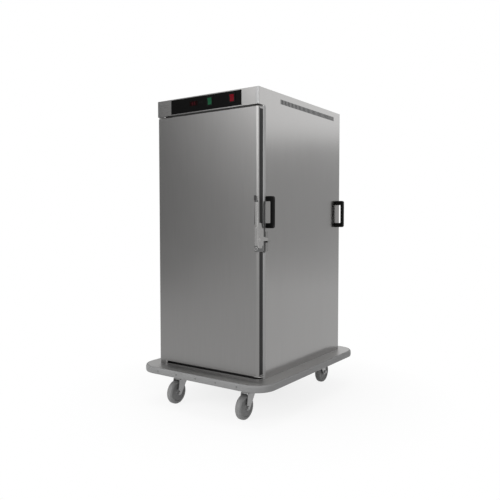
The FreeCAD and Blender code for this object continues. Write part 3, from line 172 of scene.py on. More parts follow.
class Finish(Tree):
    """A material round one Principled shader."""

    def __init__(self, name, **sockets):
        self.material = bpy.data.materials.new(name)
        self.material.use_nodes = True
        super().__init__(self.material.node_tree)
        self.shader = self.tree.nodes["Principled BSDF"]
        self.set(**sockets)

    def set(self, **sockets):
        """Sets the shader's sockets, with _ for a space in their names."""
        for name, value in sockets.items():
            label = name.replace("_", " ").title().replace("Ior", "IOR")
            feed(self.tree, self.shader.inputs[label], value)

    def surface(self, shader):
        """Shows another shader in place of the Principled one."""
        feed(self.tree, self.tree.nodes["Material Output"].inputs["Surface"], shader)

    def place(self, scale=UNIT):
        """Object coordinates, stretched."""
        spot = self.make("ShaderNodeTexCoord", {}, {}, "Object")
        return self.make("ShaderNodeMapping", {}, {"Vector": spot, "Scale": scale})

    def axis(self, name, scale=UNIT):
        """One of the stretched coordinates: X, Y or Z."""
        return self.make("ShaderNodeSeparateXYZ", {}, {"Vector": self.place(scale)}, name)

    def noise(self, scale, detail=2.0, stretch=UNIT):
        """Noise between 0 and 1, in cycles a metre."""
        sockets = {"Vector": self.place(stretch), "Scale": scale, "Detail": detail}
        return self.make("ShaderNodeTexNoise", {}, sockets)

    def bump(self, height, depth):
        """Relief, depth metres between 0 and 1."""
        sockets = {"Height": height, "Distance": depth, "Strength": 1.0}
        self.set(normal=self.make("ShaderNodeBump", {}, sockets))


print("materials before the first finish", len(bpy.data.materials))

# %% [markdown]
# ## Sheet steel
# Sheet steel for kitchens is sanded with a belt, so it has long fine scratches all one way. They could be
# drawn as lines, but noise that is squeezed across the scratches and stretched along them costs one node.
# It drives the colour, the gloss and a very shallow relief, and wide clouds of noise add wiping marks. A few
# places have a level and a dullness of their own, each a patch, a box along Y and Z. The strip between the
# vent slots is darker, painted shade of the slots. The folded ends of the head are darker, painted shade that
# dims their highlight. The rolled front edges are rougher and a little paler, and the paler level is a
# painted highlight. The lip of the door's edge is almost black, painted shade of the gap beside it. The end
# of the lock and the tip of the lever are darker.

# %% Sheet steel
ALONG_Z = (420.0, 420.0, 5.0)
ALONG_X = (5.0, 420.0, 420.0)
FINE_GRAIN = (160.0, 160.0, 40.0)
BELT_RELIEF = 2.0e-6
FINE_RELIEF = 1.0e-6
TRAY_RELIEF = 0.15e-6
CLOUD_SCALE = 2.2
STEEL_DETAIL = 3.0
SCRATCH_SHARE, CLOUD_SHARE = 0.7, 0.3
SCRATCH_GLOSS, CLOUD_GLOSS = 0.06, 0.08
LEVEL_SWING = 0.10
STEEL_WARMTH = 0.012

Patch = namedtuple("Patch", "middle half level rough")
# Painted shade: the strip between the vent slots is darkened as the shade of the slots.
VENT_SHADE = Patch(middle=(0.056, 1.580), half=(0.294, 0.012), level=0.157, rough=0.19)
# Painted shade: the folded front ends of the head are darkened to dim their highlight; their roughness is
# their own.
HEAD_RETURN_SHADE = Patch(middle=(-0.4345, 1.580), half=(0.0025, 0.043), level=0.225, rough=0.28)
# The rolled front edges are rougher, and their paler level is a painted highlight.
ROLLED_EDGE_ROUGH_AND_HIGHLIGHT = Patch(middle=(-0.3835, 0.874), half=(0.0100, 0.661), level=0.29, rough=0.55)
# Painted shade: the lip of the door's edge is nearly black as the shade of the gap beside it.
DOOR_EDGE_SHADE = Patch(middle=(-0.4245, 0.880), half=(0.0020, 0.645), level=0.03, rough=0.50)
LOCK_END = Patch(middle=(-0.430, 0.853), half=(0.030, 0.0145), level=0.143, rough=0.24)
LEVER_TIP = Patch(middle=(-0.440, 1.081), half=(0.040, 0.006), level=0.068, rough=0.24)


def belt_steel(name, level, rough, grain=ALONG_Z, relief=BELT_RELIEF, patches=()):
    """Sanded steel: stretched noise for the scratches and wide clouds for the wiping marks. Inside a patch
    the level is the patch's own, and so is the middle of the roughness."""
    steel = Finish(name, metallic=1.0)
    scratch = steel.noise(1.0, STEEL_DETAIL, grain)
    cloud = steel.noise(CLOUD_SCALE, STEEL_DETAIL)
    shade = scratch * SCRATCH_SHARE + cloud * CLOUD_SHARE
    darker, paler = (grey(level * (1 + swing), STEEL_WARMTH) for swing in (-LEVEL_SWING, LEVEL_SWING))
    colour = steel.blend(shade, darker, paler)
    sheen = scratch * SCRATCH_GLOSS + cloud * CLOUD_GLOSS + (rough - (SCRATCH_GLOSS + CLOUD_GLOSS) / 2)
    for patch in patches:
        beside = steel.axis("Y").near(patch.middle[0], patch.half[0])
        inside = beside * steel.axis("Z").near(patch.middle[1], patch.half[1])
        colour = steel.blend(inside, colour, grey(patch.level))
        sheen = sheen + inside * (patch.rough - rough)
    steel.set(base_color=colour, roughness=sheen)
    steel.bump(scratch, relief)
    return steel.material


door_steel = belt_steel("door_steel", 0.225, 0.30, patches=(DOOR_EDGE_SHADE,))
panel_steel = belt_steel("panel_steel", 0.27, 0.19, patches=(VENT_SHADE, HEAD_RETURN_SHADE, ROLLED_EDGE_ROUGH_AND_HIGHLIGHT))
fascia_steel = belt_steel("fascia_steel", 0.225, 0.28, ALONG_X)
tray_steel = belt_steel("tray_steel", 0.37, 0.40, FINE_GRAIN, TRAY_RELIEF)
# Darker than the door's steel: painted shade under the door.
sill_shade_steel = belt_steel("sill_shade_steel", 0.13, 0.30, ALONG_X)
bright_steel = belt_steel("bright_steel", 0.34, 0.24, FINE_GRAIN, FINE_RELIEF)
latch_steel = belt_steel("latch_steel", 0.34, 0.24, FINE_GRAIN, FINE_RELIEF, (LOCK_END,))
lever_steel = belt_steel("lever_steel", 0.34, 0.24, FINE_GRAIN, FINE_RELIEF, (LEVER_TIP,))
keeper_steel = belt_steel("keeper_steel", 0.22, 0.28, FINE_GRAIN, FINE_RELIEF)
chamber_steel = belt_steel("chamber_steel", 0.34, 0.28)
print("steels", len(bpy.data.materials))

# %% [markdown]
# ## Zinc, plastic and rubber
# The casters are zinc plated, which shows cloudy crystals a few millimetres wide. Handles, bumper, tyres and
# seals are moulded: their skin has a fine leathery grain from the mould, about a millimetre wide. A picture
# of each could be wrapped round the parts, but noise has no seams and needs no unwrapping.

# %% Zinc, plastic and rubber
ZINC_METAL = 0.85
ZINC_SCALE = 160.0
ZINC_SHARES = (0.8, 1.15)
ZINC_ROUGH, ZINC_SPREAD = 0.32, 0.2
DUST_SCALE, DUST_DETAIL = 14.0, 3.0
GRAIN_GLOSS = 0.12


def zinc_plate(name, level):
    """Zinc plate: small cloudy grains, darker and paler than the level, with a soft gloss."""
    plate = Finish(name, metallic=ZINC_METAL)
    grain = plate.noise(ZINC_SCALE)
    darker, paler = (grey(level * share) for share in ZINC_SHARES)
    plate.set(base_color=plate.blend(grain, darker, paler), roughness=grain * ZINC_SPREAD + ZINC_ROUGH)
    return plate.material


def moulded(name, low, high, rough, scale=900.0, depth=1.5e-5, shine=0.5):
    """Moulded plastic or rubber: a fine leathery grain, and a little dust in wide clouds."""
    plastic = Finish(name, specular_ior_level=shine)
    grain = plastic.noise(scale)
    dust = plastic.noise(DUST_SCALE, DUST_DETAIL)
    sheen = grain * GRAIN_GLOSS + (rough - GRAIN_GLOSS / 2)
    plastic.set(base_color=plastic.blend(dust, low, high), roughness=sheen)
    plastic.bump(grain, depth)
    return plastic.material


zinc = zinc_plate("zinc_plate", 0.33)
# Near black zinc: on the bumper its darkness is painted shade of the screw recesses.
dark_zinc_shade = zinc_plate("dark_zinc_shade", 0.015)
lock_metal = zinc_plate("lock_metal", 0.20)
black_grain = moulded("black_grain", grey(0.004), grey(0.006), 0.55, shine=0.04)
# Dark grey for the strip beside the latch, which is painted shade of the lever and the handle.
shade_strip_grey = moulded("shade_strip_grey", grey(0.055), grey(0.07), 0.5, shine=0.2)
knob_grey = moulded("knob_grey", grey(0.03), grey(0.04), 0.5, shine=0.2)
panel_black = moulded("panel_black", grey(0.002), grey(0.003), 0.35, 300.0, 2e-6, 0.03)
bumper_grey = moulded("bumper_grey", grey(0.185), grey(0.218), 0.48, shine=0.3)
tyre_grey = moulded("tyre_grey", grey(0.19), grey(0.23), 0.55, shine=0.25)
disc_grey = moulded("disc_grey", grey(0.15), grey(0.18), 0.45, shine=0.3)
seal_black = moulded("seal_black", grey(0.006), grey(0.011), 0.6, shine=0.25)
mineral_wool = moulded("mineral_wool", (0.55, 0.48, 0.25, 1), (0.70, 0.62, 0.36, 1), 0.9, 260.0, 6e-4)
motor_cast = moulded("motor_cast", grey(0.05), grey(0.08), 0.5)
board_green = moulded("board_green", (0.01, 0.09, 0.03, 1), (0.02, 0.13, 0.05, 1), 0.4)
display_glass = moulded("display_glass", (0.004, 0.001, 0.001, 1), (0.006, 0.001, 0.001, 1), 0.14,
                        200.0, 1e-6, 0.04)
print("finishes", len(bpy.data.materials))

# %% [markdown]
# ## Lit lenses
# The two rocker switches have a lamp behind a coloured lens, and the display's bars are lit from behind. The
# lamp could be a real light inside, but a lens this small only needs a weak glow of its own colour.

# %% Lit lenses
LENS_ROUGH = 0.25
LENS_SHINE = 0.03
LENS_SCALE = 90.0
DIM_SHARE = 0.6


def lit_lens(name, colour, glow):
    """A clear coloured lens with a lamp behind it: clouds of a dimmer colour, and an even glow."""
    glass = Finish(name, roughness=LENS_ROUGH, specular_ior_level=LENS_SHINE)
    cloud = glass.noise(LENS_SCALE)
    dim = tuple(c * DIM_SHARE for c in colour[:3]) + (1,)
    glass.set(base_color=glass.blend(cloud, dim, colour), emission_color=colour, emission_strength=glow)
    return glass.material


lens_green = lit_lens("lens_green", (0.009, 0.056, 0.026, 1), 0.30)
lens_red = lit_lens("lens_red", (0.105, 0.004, 0.008, 1), 0.30)
digit_red = lit_lens("digit_red", (0.050, 0.006, 0.010, 1), 0.5)
print("finishes with lit lenses", len(bpy.data.materials))

# %% [markdown]
# ## Finish of each part
# Every CAD part keeps its shape and gets one finish. A table from finish to part names is easier to read and
# to change than one line of code for each part.

# %% Finish of each part
FINISHES = {
    door_steel: "door_outer_skin door_hinge_leaf_top door_hinge_leaf_bottom hinge_bracket_top"
                " hinge_bracket_bottom",
    panel_steel: "left_side_panel right_side_panel rear_panel top_cover head_floor front_frame",
    fascia_steel: "control_fascia",
    tray_steel: "base_tray",
    bright_steel: "hinge_pins temperature_probe heater_element",
    latch_steel: "latch_body",
    lever_steel: "latch_lever",
    chamber_steel: "inner_chamber door_inner_liner ceiling_baffle rack_uprights tray_runners_left"
                   " tray_runners_right fan_wheel",
    zinc: "chassis_rails caster_plates caster_bolts bumper_screws handle_screws"
          " caster_fork_fl caster_fork_fr caster_fork_rl caster_fork_rr"
          " caster_axle_fl caster_axle_fr caster_axle_rl caster_axle_rr",
    black_grain: "push_handle_front push_handle_rear switch_bezels cable_gland",
    keeper_steel: "latch_keeper",
    lock_metal: "lock_cylinder",
    panel_black: "control_panel",
    bumper_grey: "bumper_strip",
    tyre_grey: "caster_wheel_fl caster_wheel_fr caster_wheel_rl caster_wheel_rr",
    seal_black: "door_gasket door_edge_profiles",
    mineral_wool: "insulation_panels door_insulation",
    lens_green: "power_rocker",
    lens_red: "heat_rocker",
    display_glass: "display_module",
    motor_cast: "fan_motor",
    board_green: "control_board",
}
for finish, names in FINISHES.items():
    for name in names.split():
        nodes[name].data.materials.clear()
        nodes[name].data.materials.append(finish)
print("dressed", sum(len(names.split()) for names in FINISHES.values()), "of", len(nodes))

# %% [markdown]
# ## Surfaces from arrays
# The rounded parts are surfaces of two parameters. A formula fills a grid of points, and each four
# neighbours make a face. Blender's own primitives would do for a plain disc, but one grid helper makes tyres,
# handles, screws and seals alike, and numpy works out all the points at once.

# %% Surfaces from arrays
RING = (True, True)
TUBE = (False, True)
MERGE_REACH = 1e-6


def skin(name, grid, body, finish, closed=RING, crease=35):
    """A piece from a grid of points (copies, rows, columns, xyz), where a single copy needs no first index:
    four neighbours make a face, and the grid joins up with itself along the directions that are closed."""
    if grid.ndim == 3:
        grid = grid[None]
    copies, rows, columns = grid.shape[:3]
    index = np.arange(copies * rows * columns).reshape(copies, rows, columns)
    if closed[0]:
        index = np.concatenate((index, index[:, :1]), axis=1)
    if closed[1]:
        index = np.concatenate((index, index[:, :, :1]), axis=2)
    corners = (index[:, :-1, :-1], index[:, 1:, :-1], index[:, 1:, 1:], index[:, :-1, 1:])
    faces = np.stack(corners, axis=-1).reshape(-1, 4)
    mesh = bpy.data.meshes.new(name)
    mesh.from_pydata(grid.reshape(-1, 3).tolist(), [], faces.tolist())
    shape = bmesh.new()
    shape.from_mesh(mesh)
    bmesh.ops.remove_doubles(shape, verts=shape.verts, dist=MERGE_REACH)
    bmesh.ops.recalc_face_normals(shape, faces=shape.faces)
    shape.to_mesh(mesh)
    shape.free()
    mesh.shade_smooth()
    mesh.set_sharp_from_angle(angle=math.radians(crease))
    mesh.materials.append(finish)
    piece = bpy.data.objects.new(name, mesh)
    scene.collection.objects.link(piece)
    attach(piece, body)
    print(name, len(mesh.vertices), "points")
    return piece


def middle_of(node):
    """The middle and the half size of a CAD part's box."""
    low, high = (np.array(corner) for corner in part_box(node))
    return (low + high) / 2, (high - low) / 2


print("bumper's half size", middle_of("bumper_strip")[1])

# %% [markdown]
# ## Outlines and lathe work
# Most small parts start as a flat outline. Moulds and presses leave no sharp corners, so one helper rounds an
# outline's corners, one turns it on a lathe, and one closes the ends of a row of rings. A Bevel modifier and
# a Screw modifier could do the first two, but here the points stay in plain sight.

# %% Outlines and lathe work
LEG_SHARE = 0.45


def softened(corners, reach, closed=True, steps=5):
    """An outline with soft corners: each corner B becomes the curve (1-t)^2 A + 2t(1-t) B + t^2 C, where A
    and C lie on the legs beside it, at most reach away."""
    corners = np.asarray(corners, dtype=float)
    t = np.linspace(0, 1, steps)[None, :, None]

    def on_leg(other):
        way = other - corners
        length = np.linalg.norm(way, axis=1, keepdims=True)
        return (corners + way * np.minimum(LEG_SHARE, reach / length))[:, None]

    before, after = on_leg(np.roll(corners, 1, axis=0)), on_leg(np.roll(corners, -1, axis=0))
    curve = (1 - t) ** 2 * before + 2 * t * (1 - t) * corners[:, None] + t ** 2 * after
    if closed:
        return curve.reshape(-1, 2)
    return np.concatenate((corners[:1], curve[1:-1].reshape(-1, 2), corners[-1:]))


def turned(profile, axis, centre, steps=48):
    """Lathe work: every profile point (along the axis, radius) is carried round the axis in a circle."""
    along, radius = np.asarray(profile, dtype=float).T
    turn = np.linspace(0, 2 * np.pi, steps, endpoint=False)
    across, rising = np.outer(radius, np.cos(turn)), np.outer(radius, np.sin(turn))
    parts = np.broadcast_arrays(along[:, None], across, rising)
    return np.roll(np.stack(parts, axis=-1), "xyz".index(axis), axis=-1) + np.asarray(centre)


def capped(rings):
    """A row of rings, with the mean of the first before them and the mean of the last after them, so that a
    point closes each end."""
    caps = [np.broadcast_to(ring.mean(axis=0), ring.shape) for ring in (rings[0], rings[-1])]
    return np.stack((caps[0], *rings, caps[1]))


print("a soft square has", len(softened([(0, 0), (1, 0), (1, 1), (0, 1)], 0.1)), "points")

# %% [markdown]
# ## Wheels
# A caster wheel is a grey rubber tyre moulded onto a plastic disc with a hub. Both are turned shapes, so one
# lathe profile each is enough. The tyre and the disc are separate pieces because their finishes differ.

# %% Wheels
CORNERS = ("fl", "fr", "rl", "rr")
WHEEL_STEPS = 96
TYRE_HALF = 0.017
TYRE_DEPTH = 0.0165
TYRE_SOFT = 0.006
TREAD_HALF = 0.011
SHOULDER = 0.008
LIP = 0.002
HUB_RADIUS = 0.0145
HUB_STEP = 0.004
HUB_FLARE = 0.006
WEB_HALF = 0.0125
WEB_DISH = 0.008
DISC_SOFT = 0.0025
BORE = 0.0052


def both_sides(half_ring):
    """A ring from its right half: the points (x, radius), then (-x, radius) in reverse order."""
    half_ring = np.array(half_ring)
    return np.concatenate((half_ring, half_ring[::-1] * (-1, 1)))


for corner in CORNERS:
    centre, half = middle_of(f"caster_wheel_{corner}")
    hub_half, radius = half[0], half[2]
    seat = radius - TYRE_DEPTH
    rubber = both_sides([(TREAD_HALF, radius), (TYRE_HALF, radius - SHOULDER), (TYRE_HALF, seat + LIP),
                         (TYRE_HALF - LIP, seat)])
    tyre = skin(f"tyre_{corner}", turned(softened(rubber, TYRE_SOFT), "x", centre, WHEEL_STEPS),
                f"wheel_{corner}", tyre_grey)
    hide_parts(f"caster_wheel_{corner}")
    plastic = both_sides([(TYRE_HALF - LIP, seat), (WEB_HALF + LIP / 2, seat - LIP),
                          (WEB_HALF, seat - WEB_DISH), (WEB_HALF, HUB_RADIUS + HUB_FLARE),
                          (hub_half - HUB_STEP, HUB_RADIUS), (hub_half, HUB_RADIUS - LIP), (hub_half, BORE)])
    skin(f"wheel_disc_{corner}", turned(softened(plastic, DISC_SOFT), "x", centre, WHEEL_STEPS),
         f"wheel_{corner}", disc_grey)

# %% [markdown]
# ## Swivel races
# A swivel caster turns on a ring of balls between two pressed races. Only the rounded edge of the lower race
# shows, so one soft lathe ring round the top of each fork stands for it.

# %% Swivel races
RACE_RADIUS = 0.0295
RACE_WALL = 0.0035
RACE_HEIGHT = 0.006
RACE_DROP = 0.001
RACE_SOFT = 0.002
SWIVEL_Y = 0.375

race = softened([(0, RACE_RADIUS - RACE_WALL), (0, RACE_RADIUS), (RACE_HEIGHT, RACE_RADIUS),
                 (RACE_HEIGHT, RACE_RADIUS - RACE_WALL)], RACE_SOFT)
for corner in CORNERS:
    low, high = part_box(f"caster_fork_{corner}")
    swivel_y = -SWIVEL_Y if corner[0] == "f" else SWIVEL_Y
    spot = ((low[0] + high[0]) / 2, swivel_y, high[2] - RACE_HEIGHT - RACE_DROP)
    skin(f"swivel_race_{corner}", turned(race, "z", spot), f"caster_{corner}", zinc)

# %% [markdown]
# ## Bridge handles
# The push handles are bridges of black plastic with soft edges: a thin grip on two thick feet. A bevelled
# curve would have one thickness all along, so the surface runs between an outer and an inner outline instead,
# and its section is a squared circle: the cosine and the sine keep their signs and take a power under 1,
# which pushes the curve out towards its corners.

# %% Bridge handles
HANDLE_GRIP = 0.014
HANDLE_FOOT = 0.025
HANDLE_CORNER = 0.011
GAP_CORNER = 0.006
CORNER_STEPS = 9
SECTION_STEPS = 40
SECTION_POWER = 0.30
CAP_LIFT = 0.0006


def squared(turn, power):
    """A squared circle: sign(cos) |cos|^power and sign(sin) |sin|^power."""
    wave = np.stack((np.cos(turn), np.sin(turn)), axis=-1)
    return np.sign(wave) * np.abs(wave) ** power


def bridge_grid(low, high):
    """Bridge: the middle of the outer and inner outlines, plus the section's across part times half their
    distance, and the section's other part times half the depth. A point closes each foot."""
    reach, depth, length = high - low - (CAP_LIFT, 0, 0)
    hollow, gap_end = reach - HANDLE_GRIP, length - HANDLE_FOOT
    outer = softened([(0, 0), (reach, 0), (reach, length), (0, length)], HANDLE_CORNER, False, CORNER_STEPS)
    inner = softened([(0, HANDLE_FOOT), (hollow, HANDLE_FOOT), (hollow, gap_end), (0, gap_end)], GAP_CORNER,
                     False, CORNER_STEPS)
    section = squared(np.linspace(0, 2 * np.pi, SECTION_STEPS, endpoint=False), SECTION_POWER)
    flat = (outer + inner)[:, None] / 2 + (outer - inner)[:, None] / 2 * section[None, :, :1]
    deep = np.broadcast_to(section[None, :, 1] * depth / 2, flat.shape[:2])
    rings = np.stack((flat[..., 0], deep, flat[..., 1]), axis=-1)
    return capped(rings) + (low[0], (low[1] + high[1]) / 2, low[2])


for label in ("front", "rear"):
    low, high = (np.array(corner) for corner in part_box(f"push_handle_{label}"))
    bridge = skin(f"bridge_handle_{label}", bridge_grid(low, high), "cabinet", black_grain,
                  closed=TUBE, crease=60)
    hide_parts(f"push_handle_{label}")

# %% [markdown]
# ## Bumper band
# A plastic band runs round the edge of the tray and takes the knocks. It is extruded with a slightly crowned
# face and bent round the corners. A curve with a bevel profile would do, but the path is only four quarter
# circles joined by straights, so the section is carried along it directly.

# %% Bumper band
BUMPER_CORNER = 0.110
BUMPER_SOFT = 0.003
BUMPER_SECTION = [(0.010, 0.0), (0.003, 0.0), (0.0006, 0.006), (0.0002, 0.0175), (0.0008, 0.028),
                  (0.004, 0.0348), (0.010, 0.035)]


def banded(section, half, corner, steps=24):
    """Band round a rectangle with round corners: the corner's centre plus the outward direction times the
    corner radius less the section's inset, and the section's own height."""
    inset, height = section.T
    quarter = np.linspace(0, np.pi / 2, steps)
    turn = (quarter[None] + np.arange(4)[:, None] * np.pi / 2).ravel()
    outward = np.stack((np.cos(turn), np.sin(turn)), axis=-1)
    signs = np.repeat(np.array([(1, 1), (-1, 1), (-1, -1), (1, -1)]), steps, axis=0)
    flat = signs * (half - corner) + outward * (corner - inset[:, None, None])
    rise = np.broadcast_to(height[:, None], flat.shape[:2])
    return np.concatenate((flat, rise[..., None]), axis=-1)


bumper_middle, bumper_half = middle_of("bumper_strip")
bumper_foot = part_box("bumper_strip")[0][2]
band = banded(softened(BUMPER_SECTION, BUMPER_SOFT), bumper_half[:2], BUMPER_CORNER) + (0, 0, bumper_foot)
band = skin("bumper_band", band, "cabinet", bumper_grey, crease=50)
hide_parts("bumper_strip")

# %% [markdown]
# ## Sill
# A folded steel sill stands on the tray under the door, between the hinge bracket and the latch side, where
# it turns back to the frame round a soft corner. Its steel is darker than the door's: painted shade from the
# door above it. A small ledge on the frame closes the foot of the gap beside the door. A box with a bevel
# would round every edge alike, so each is its plan, with one round corner, repeated at a few levels and drawn
# in a little at the top.

# %% Sill
SILL_HEIGHT = 0.0085
SILL_CORNER = 0.014
SILL_STEPS = 12
SHEET_EDGE = 0.0015
EDGE_SHARE = 0.3
LEDGE_SHEET = 0.003
LEDGE_REACH = 0.006
LEDGE_WIDTH = 0.030
CLEARANCE = 0.0005


def plan_ring(low, high, inset, height):
    """One level of a strip: the rectangle from low to high, drawn in, whose front right corner is a quarter
    circle about a fixed centre."""
    turn = np.linspace(-np.pi / 2, 0, SILL_STEPS)
    centre = np.array((high[0] - SILL_CORNER, low[1] + SILL_CORNER))
    corner = centre + (SILL_CORNER - inset) * np.stack((np.cos(turn), np.sin(turn)), axis=-1)
    rear = [(high[0] - inset, high[1]), (low[0], high[1])]
    plan = np.concatenate(([(low[0], low[1] + inset)], corner, rear))
    return np.column_stack((plan, np.full(len(plan), height)))


def soft_strip(low, high, edge):
    """A strip from its foot to its top, with a soft top edge and a point to close each end."""
    inner = edge * EDGE_SHARE
    levels = [(0, low[2]), (0, high[2] - edge), (inner, high[2] - inner), (edge, high[2])]
    return capped([plan_ring(low, high, inset, height) for inset, height in levels])


bracket_low, bracket_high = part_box("hinge_bracket_bottom")
front, sill_foot = bracket_low[1:]
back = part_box("front_frame")[0][1] - CLEARANCE
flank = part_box("right_side_panel")[1][0]
under_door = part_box("door_outer_skin")[0][2] - 2 * CLEARANCE
sill = soft_strip((bracket_high[0] + CLEARANCE, front, sill_foot),
                  (flank - SHEET_EDGE, back, sill_foot + SILL_HEIGHT), SHEET_EDGE)
# The sill's darker steel is painted shade under the door.
skin("front_sill", sill, "cabinet", sill_shade_steel, closed=TUBE)
ledge = soft_strip((flank - LEDGE_WIDTH, front, under_door - LEDGE_SHEET),
                   (flank + LEDGE_REACH, back, under_door), SHEET_EDGE / 2)
skin("gap_ledge", ledge, "cabinet", bright_steel, closed=TUBE)

# %% [markdown]
# ## Bumper screws
# The bumper is held by screws in front and behind, and under plugs of its own grey on the sides. The heads in
# front and behind are near black, painted shade standing for the recess round each head. A head is a low dome
# with a round socket in it, turned on a lathe. Linked copies would save memory, but the heads are few, so the
# copies of one kind make one piece.

# %% Bumper screws
HEAD_PROFILE = np.array([(0, 0), (0, 1), (0.5, 1), (1, 0.62), (1, 0.40), (0.35, 0.36), (0.35, 0)])
HEAD_SOFT = 0.2
HEAD_STEPS = 24
FRONT_PITCH, FRONT_PLACES = 0.128, (-2, -1, 0, 1, 2)
SIDE_PITCH, SIDE_PLACES = 0.138, (-2.5, -1.5, -0.5, 0.5, 1.5, 2.5)
HEAD_SEAT = 0.0017
HEAD_RADIUS, HEAD_LIFT = 0.0062, 0.0015
PLUG_RADIUS, PLUG_LIFT = 0.0045, 0.0012


def screw_heads(spots, radius, height):
    """Domes on their seats: the profile runs from the foot up over the rim and down into the socket, and each
    copy points along its own axis, either way."""
    profile = softened(HEAD_PROFILE * (height, radius), radius * HEAD_SOFT, closed=False, steps=4)
    return np.stack([turned(profile * (way, 1), axis, place, HEAD_STEPS) for axis, way, place in spots])


seat_x, seat_y, _ = bumper_half - HEAD_SEAT
spots = [("y", way, (FRONT_PITCH * step, way * seat_y, bumper_middle[2]))
         for way in (-1, 1) for step in FRONT_PLACES]
# The near black heads are painted shade of the screw recesses.
heads = skin("bumper_screw_heads", screw_heads(spots, HEAD_RADIUS, HEAD_LIFT), "cabinet",
             dark_zinc_shade, closed=TUBE)
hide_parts("bumper_screws")
spots = [("x", way, (way * seat_x, SIDE_PITCH * step, bumper_middle[2]))
         for way in (-1, 1) for step in SIDE_PLACES]
skin("bumper_side_plugs", screw_heads(spots, PLUG_RADIUS, PLUG_LIFT), "cabinet", bumper_grey,
     closed=TUBE)

# %% [markdown]
# ## Handle and back screws
# Each handle has a screw in each foot, and the back sheet is held along its two sides. They are the same
# domes in other sizes, so the same function makes them.

# %% Handle and back screws
FOOT_HEAD_RADIUS, FOOT_HEAD_LIFT = 0.005, 2 * CAP_LIFT
BACK_HEAD_RADIUS, BACK_HEAD_LIFT = 0.005, 0.0022
BACK_INSET = 0.012
BACK_FOOT, BACK_TOP = 0.06, 0.03
BACK_ROWS = 6

spots = []
for label in ("front", "rear"):
    centre, half = middle_of(f"push_handle_{label}")
    seat = centre[0] + half[0] - FOOT_HEAD_LIFT
    foot_middle = half[2] - HANDLE_FOOT / 2
    spots += [("x", 1, (seat, centre[1], centre[2] + way * foot_middle)) for way in (-1, 1)]
heads = skin("handle_screw_heads", screw_heads(spots, FOOT_HEAD_RADIUS, FOOT_HEAD_LIFT), "cabinet",
             dark_zinc_shade, closed=TUBE)
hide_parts("handle_screws")

low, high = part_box("rear_panel")
columns = (low[0] + BACK_INSET, high[0] - BACK_INSET)
levels = np.linspace(low[2] + BACK_FOOT, high[2] - BACK_TOP, BACK_ROWS)
spots = [("y", 1, (x, high[1], z)) for x in columns for z in levels]
skin("rear_sheet_screws", screw_heads(spots, BACK_HEAD_RADIUS, BACK_HEAD_LIFT), "cabinet", zinc,
     closed=TUBE)

# %% [markdown]
# ## Door seal
# A soft rubber seal with two folds runs round the back of the door and is squeezed against the frame. Its
# section is carried round a rectangle: each point of the section makes its own smaller rectangle, so the
# corners are mitred as on a real welded seal.

# %% Door seal
SEAL_WIDTH = 0.016
SEAL_SOFT = 0.1
SEAL_FOLDS = [(0, 0), (0.02, 0.5), (0.16, 1.0), (0.36, 0.9), (0.5, 0.45), (0.64, 0.9), (0.84, 1.0),
              (0.98, 0.5), (1, 0)]

centre, half = middle_of("door_gasket")
thick = half[1] * 2
inset, lift = (softened(SEAL_FOLDS, SEAL_SOFT) * (SEAL_WIDTH, thick)).T
around = np.array([(-1, -1), (1, -1), (1, 1), (-1, 1)])
flat = around[None] * (half[[0, 2]] - inset[:, None])[:, None] + centre[[0, 2]]
depth = np.broadcast_to((centre[1] - half[1] + lift)[:, None], flat.shape[:2])
folded = np.stack((flat[..., 0], depth, flat[..., 1]), axis=-1)
seal = skin("folded_seal", folded, "door", seal_black, crease=50)
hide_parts("door_gasket")

# %% [markdown]
# ## Latch trim
# The lever latch has a collar round its key cylinder, a cap on its pivot pin, and a thin rod with a knob
# beside its grip. All are small lathe parts that sit on CAD parts of two different bodies: the collar stays
# with the door, and the cap and the rod swing with the lever.

# %% Latch trim
SINK = 0.0005
COLLAR_WALL, COLLAR_LIFT = 0.0016, 0.0012
COLLAR_FIT = 0.0002
COLLAR_FACE = 0.6
COLLAR_SOFT = 0.0005
CAP_RADIUS, DOME_LIFT = 0.0075, 0.002
CAP_SEAT = 0.001
CAP_RIM, CAP_CROWN = 0.4, 0.5
CAP_SOFT = 0.0016
PIVOT_PLACE = (-0.443, 0.895)
ROD_PLACE = (0.316, -0.452, 0.968)
ROD_RADIUS, ROD_LENGTH = 0.003, 0.115
KNOB_RADIUS, KNOB_LENGTH = 0.0060, 0.024
ROD_SOFT = 0.002


def low_dome(radius, lift, rim, crown, soft):
    """A low dome's profile: a foot sunk a little, a wall up to rim times the lift, and a flat top of crown
    times the radius."""
    foot = -math.copysign(SINK, lift)
    corners = [(foot, 0), (foot, radius), (lift * rim, radius), (lift, radius * crown), (lift, 0)]
    return softened(corners, soft, closed=False)


centre, half = middle_of("lock_cylinder")
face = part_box("latch_body")[0][1]
inner = half[0] + COLLAR_FIT
collar = [(SINK, inner), (-COLLAR_LIFT, inner), (-COLLAR_LIFT, inner + COLLAR_WALL * COLLAR_FACE),
          (SINK, inner + COLLAR_WALL)]
skin("lock_collar", turned(softened(collar, COLLAR_SOFT), "y", (centre[0], face, centre[2])), "door",
     bright_steel)
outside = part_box("latch_lever")[1][0] - CAP_SEAT
cap = low_dome(CAP_RADIUS, DOME_LIFT, CAP_RIM, CAP_CROWN, CAP_SOFT)
skin("pivot_cap", turned(cap, "x", (outside, *PIVOT_PLACE)), "latch_lever", bright_steel,
     closed=TUBE)
knob_end = ROD_LENGTH + KNOB_LENGTH
rod = [(0, 0), (0, ROD_RADIUS), (ROD_LENGTH, ROD_RADIUS), (ROD_LENGTH, KNOB_RADIUS), (knob_end, KNOB_RADIUS),
       (knob_end, 0)]
skin("lever_rod", turned(softened(rod, ROD_SOFT, closed=False), "z", ROD_PLACE), "latch_lever",
     knob_grey, closed=TUBE)

# %% [markdown]
# ## Latch shade strip
# A dark moulded strip on the steel edge of the cabinet behind the latch is painted shade: it darkens that
# edge where the lever and the handle shade it. It is a plain strip, so its section, with soft corners, is
# carried straight up.

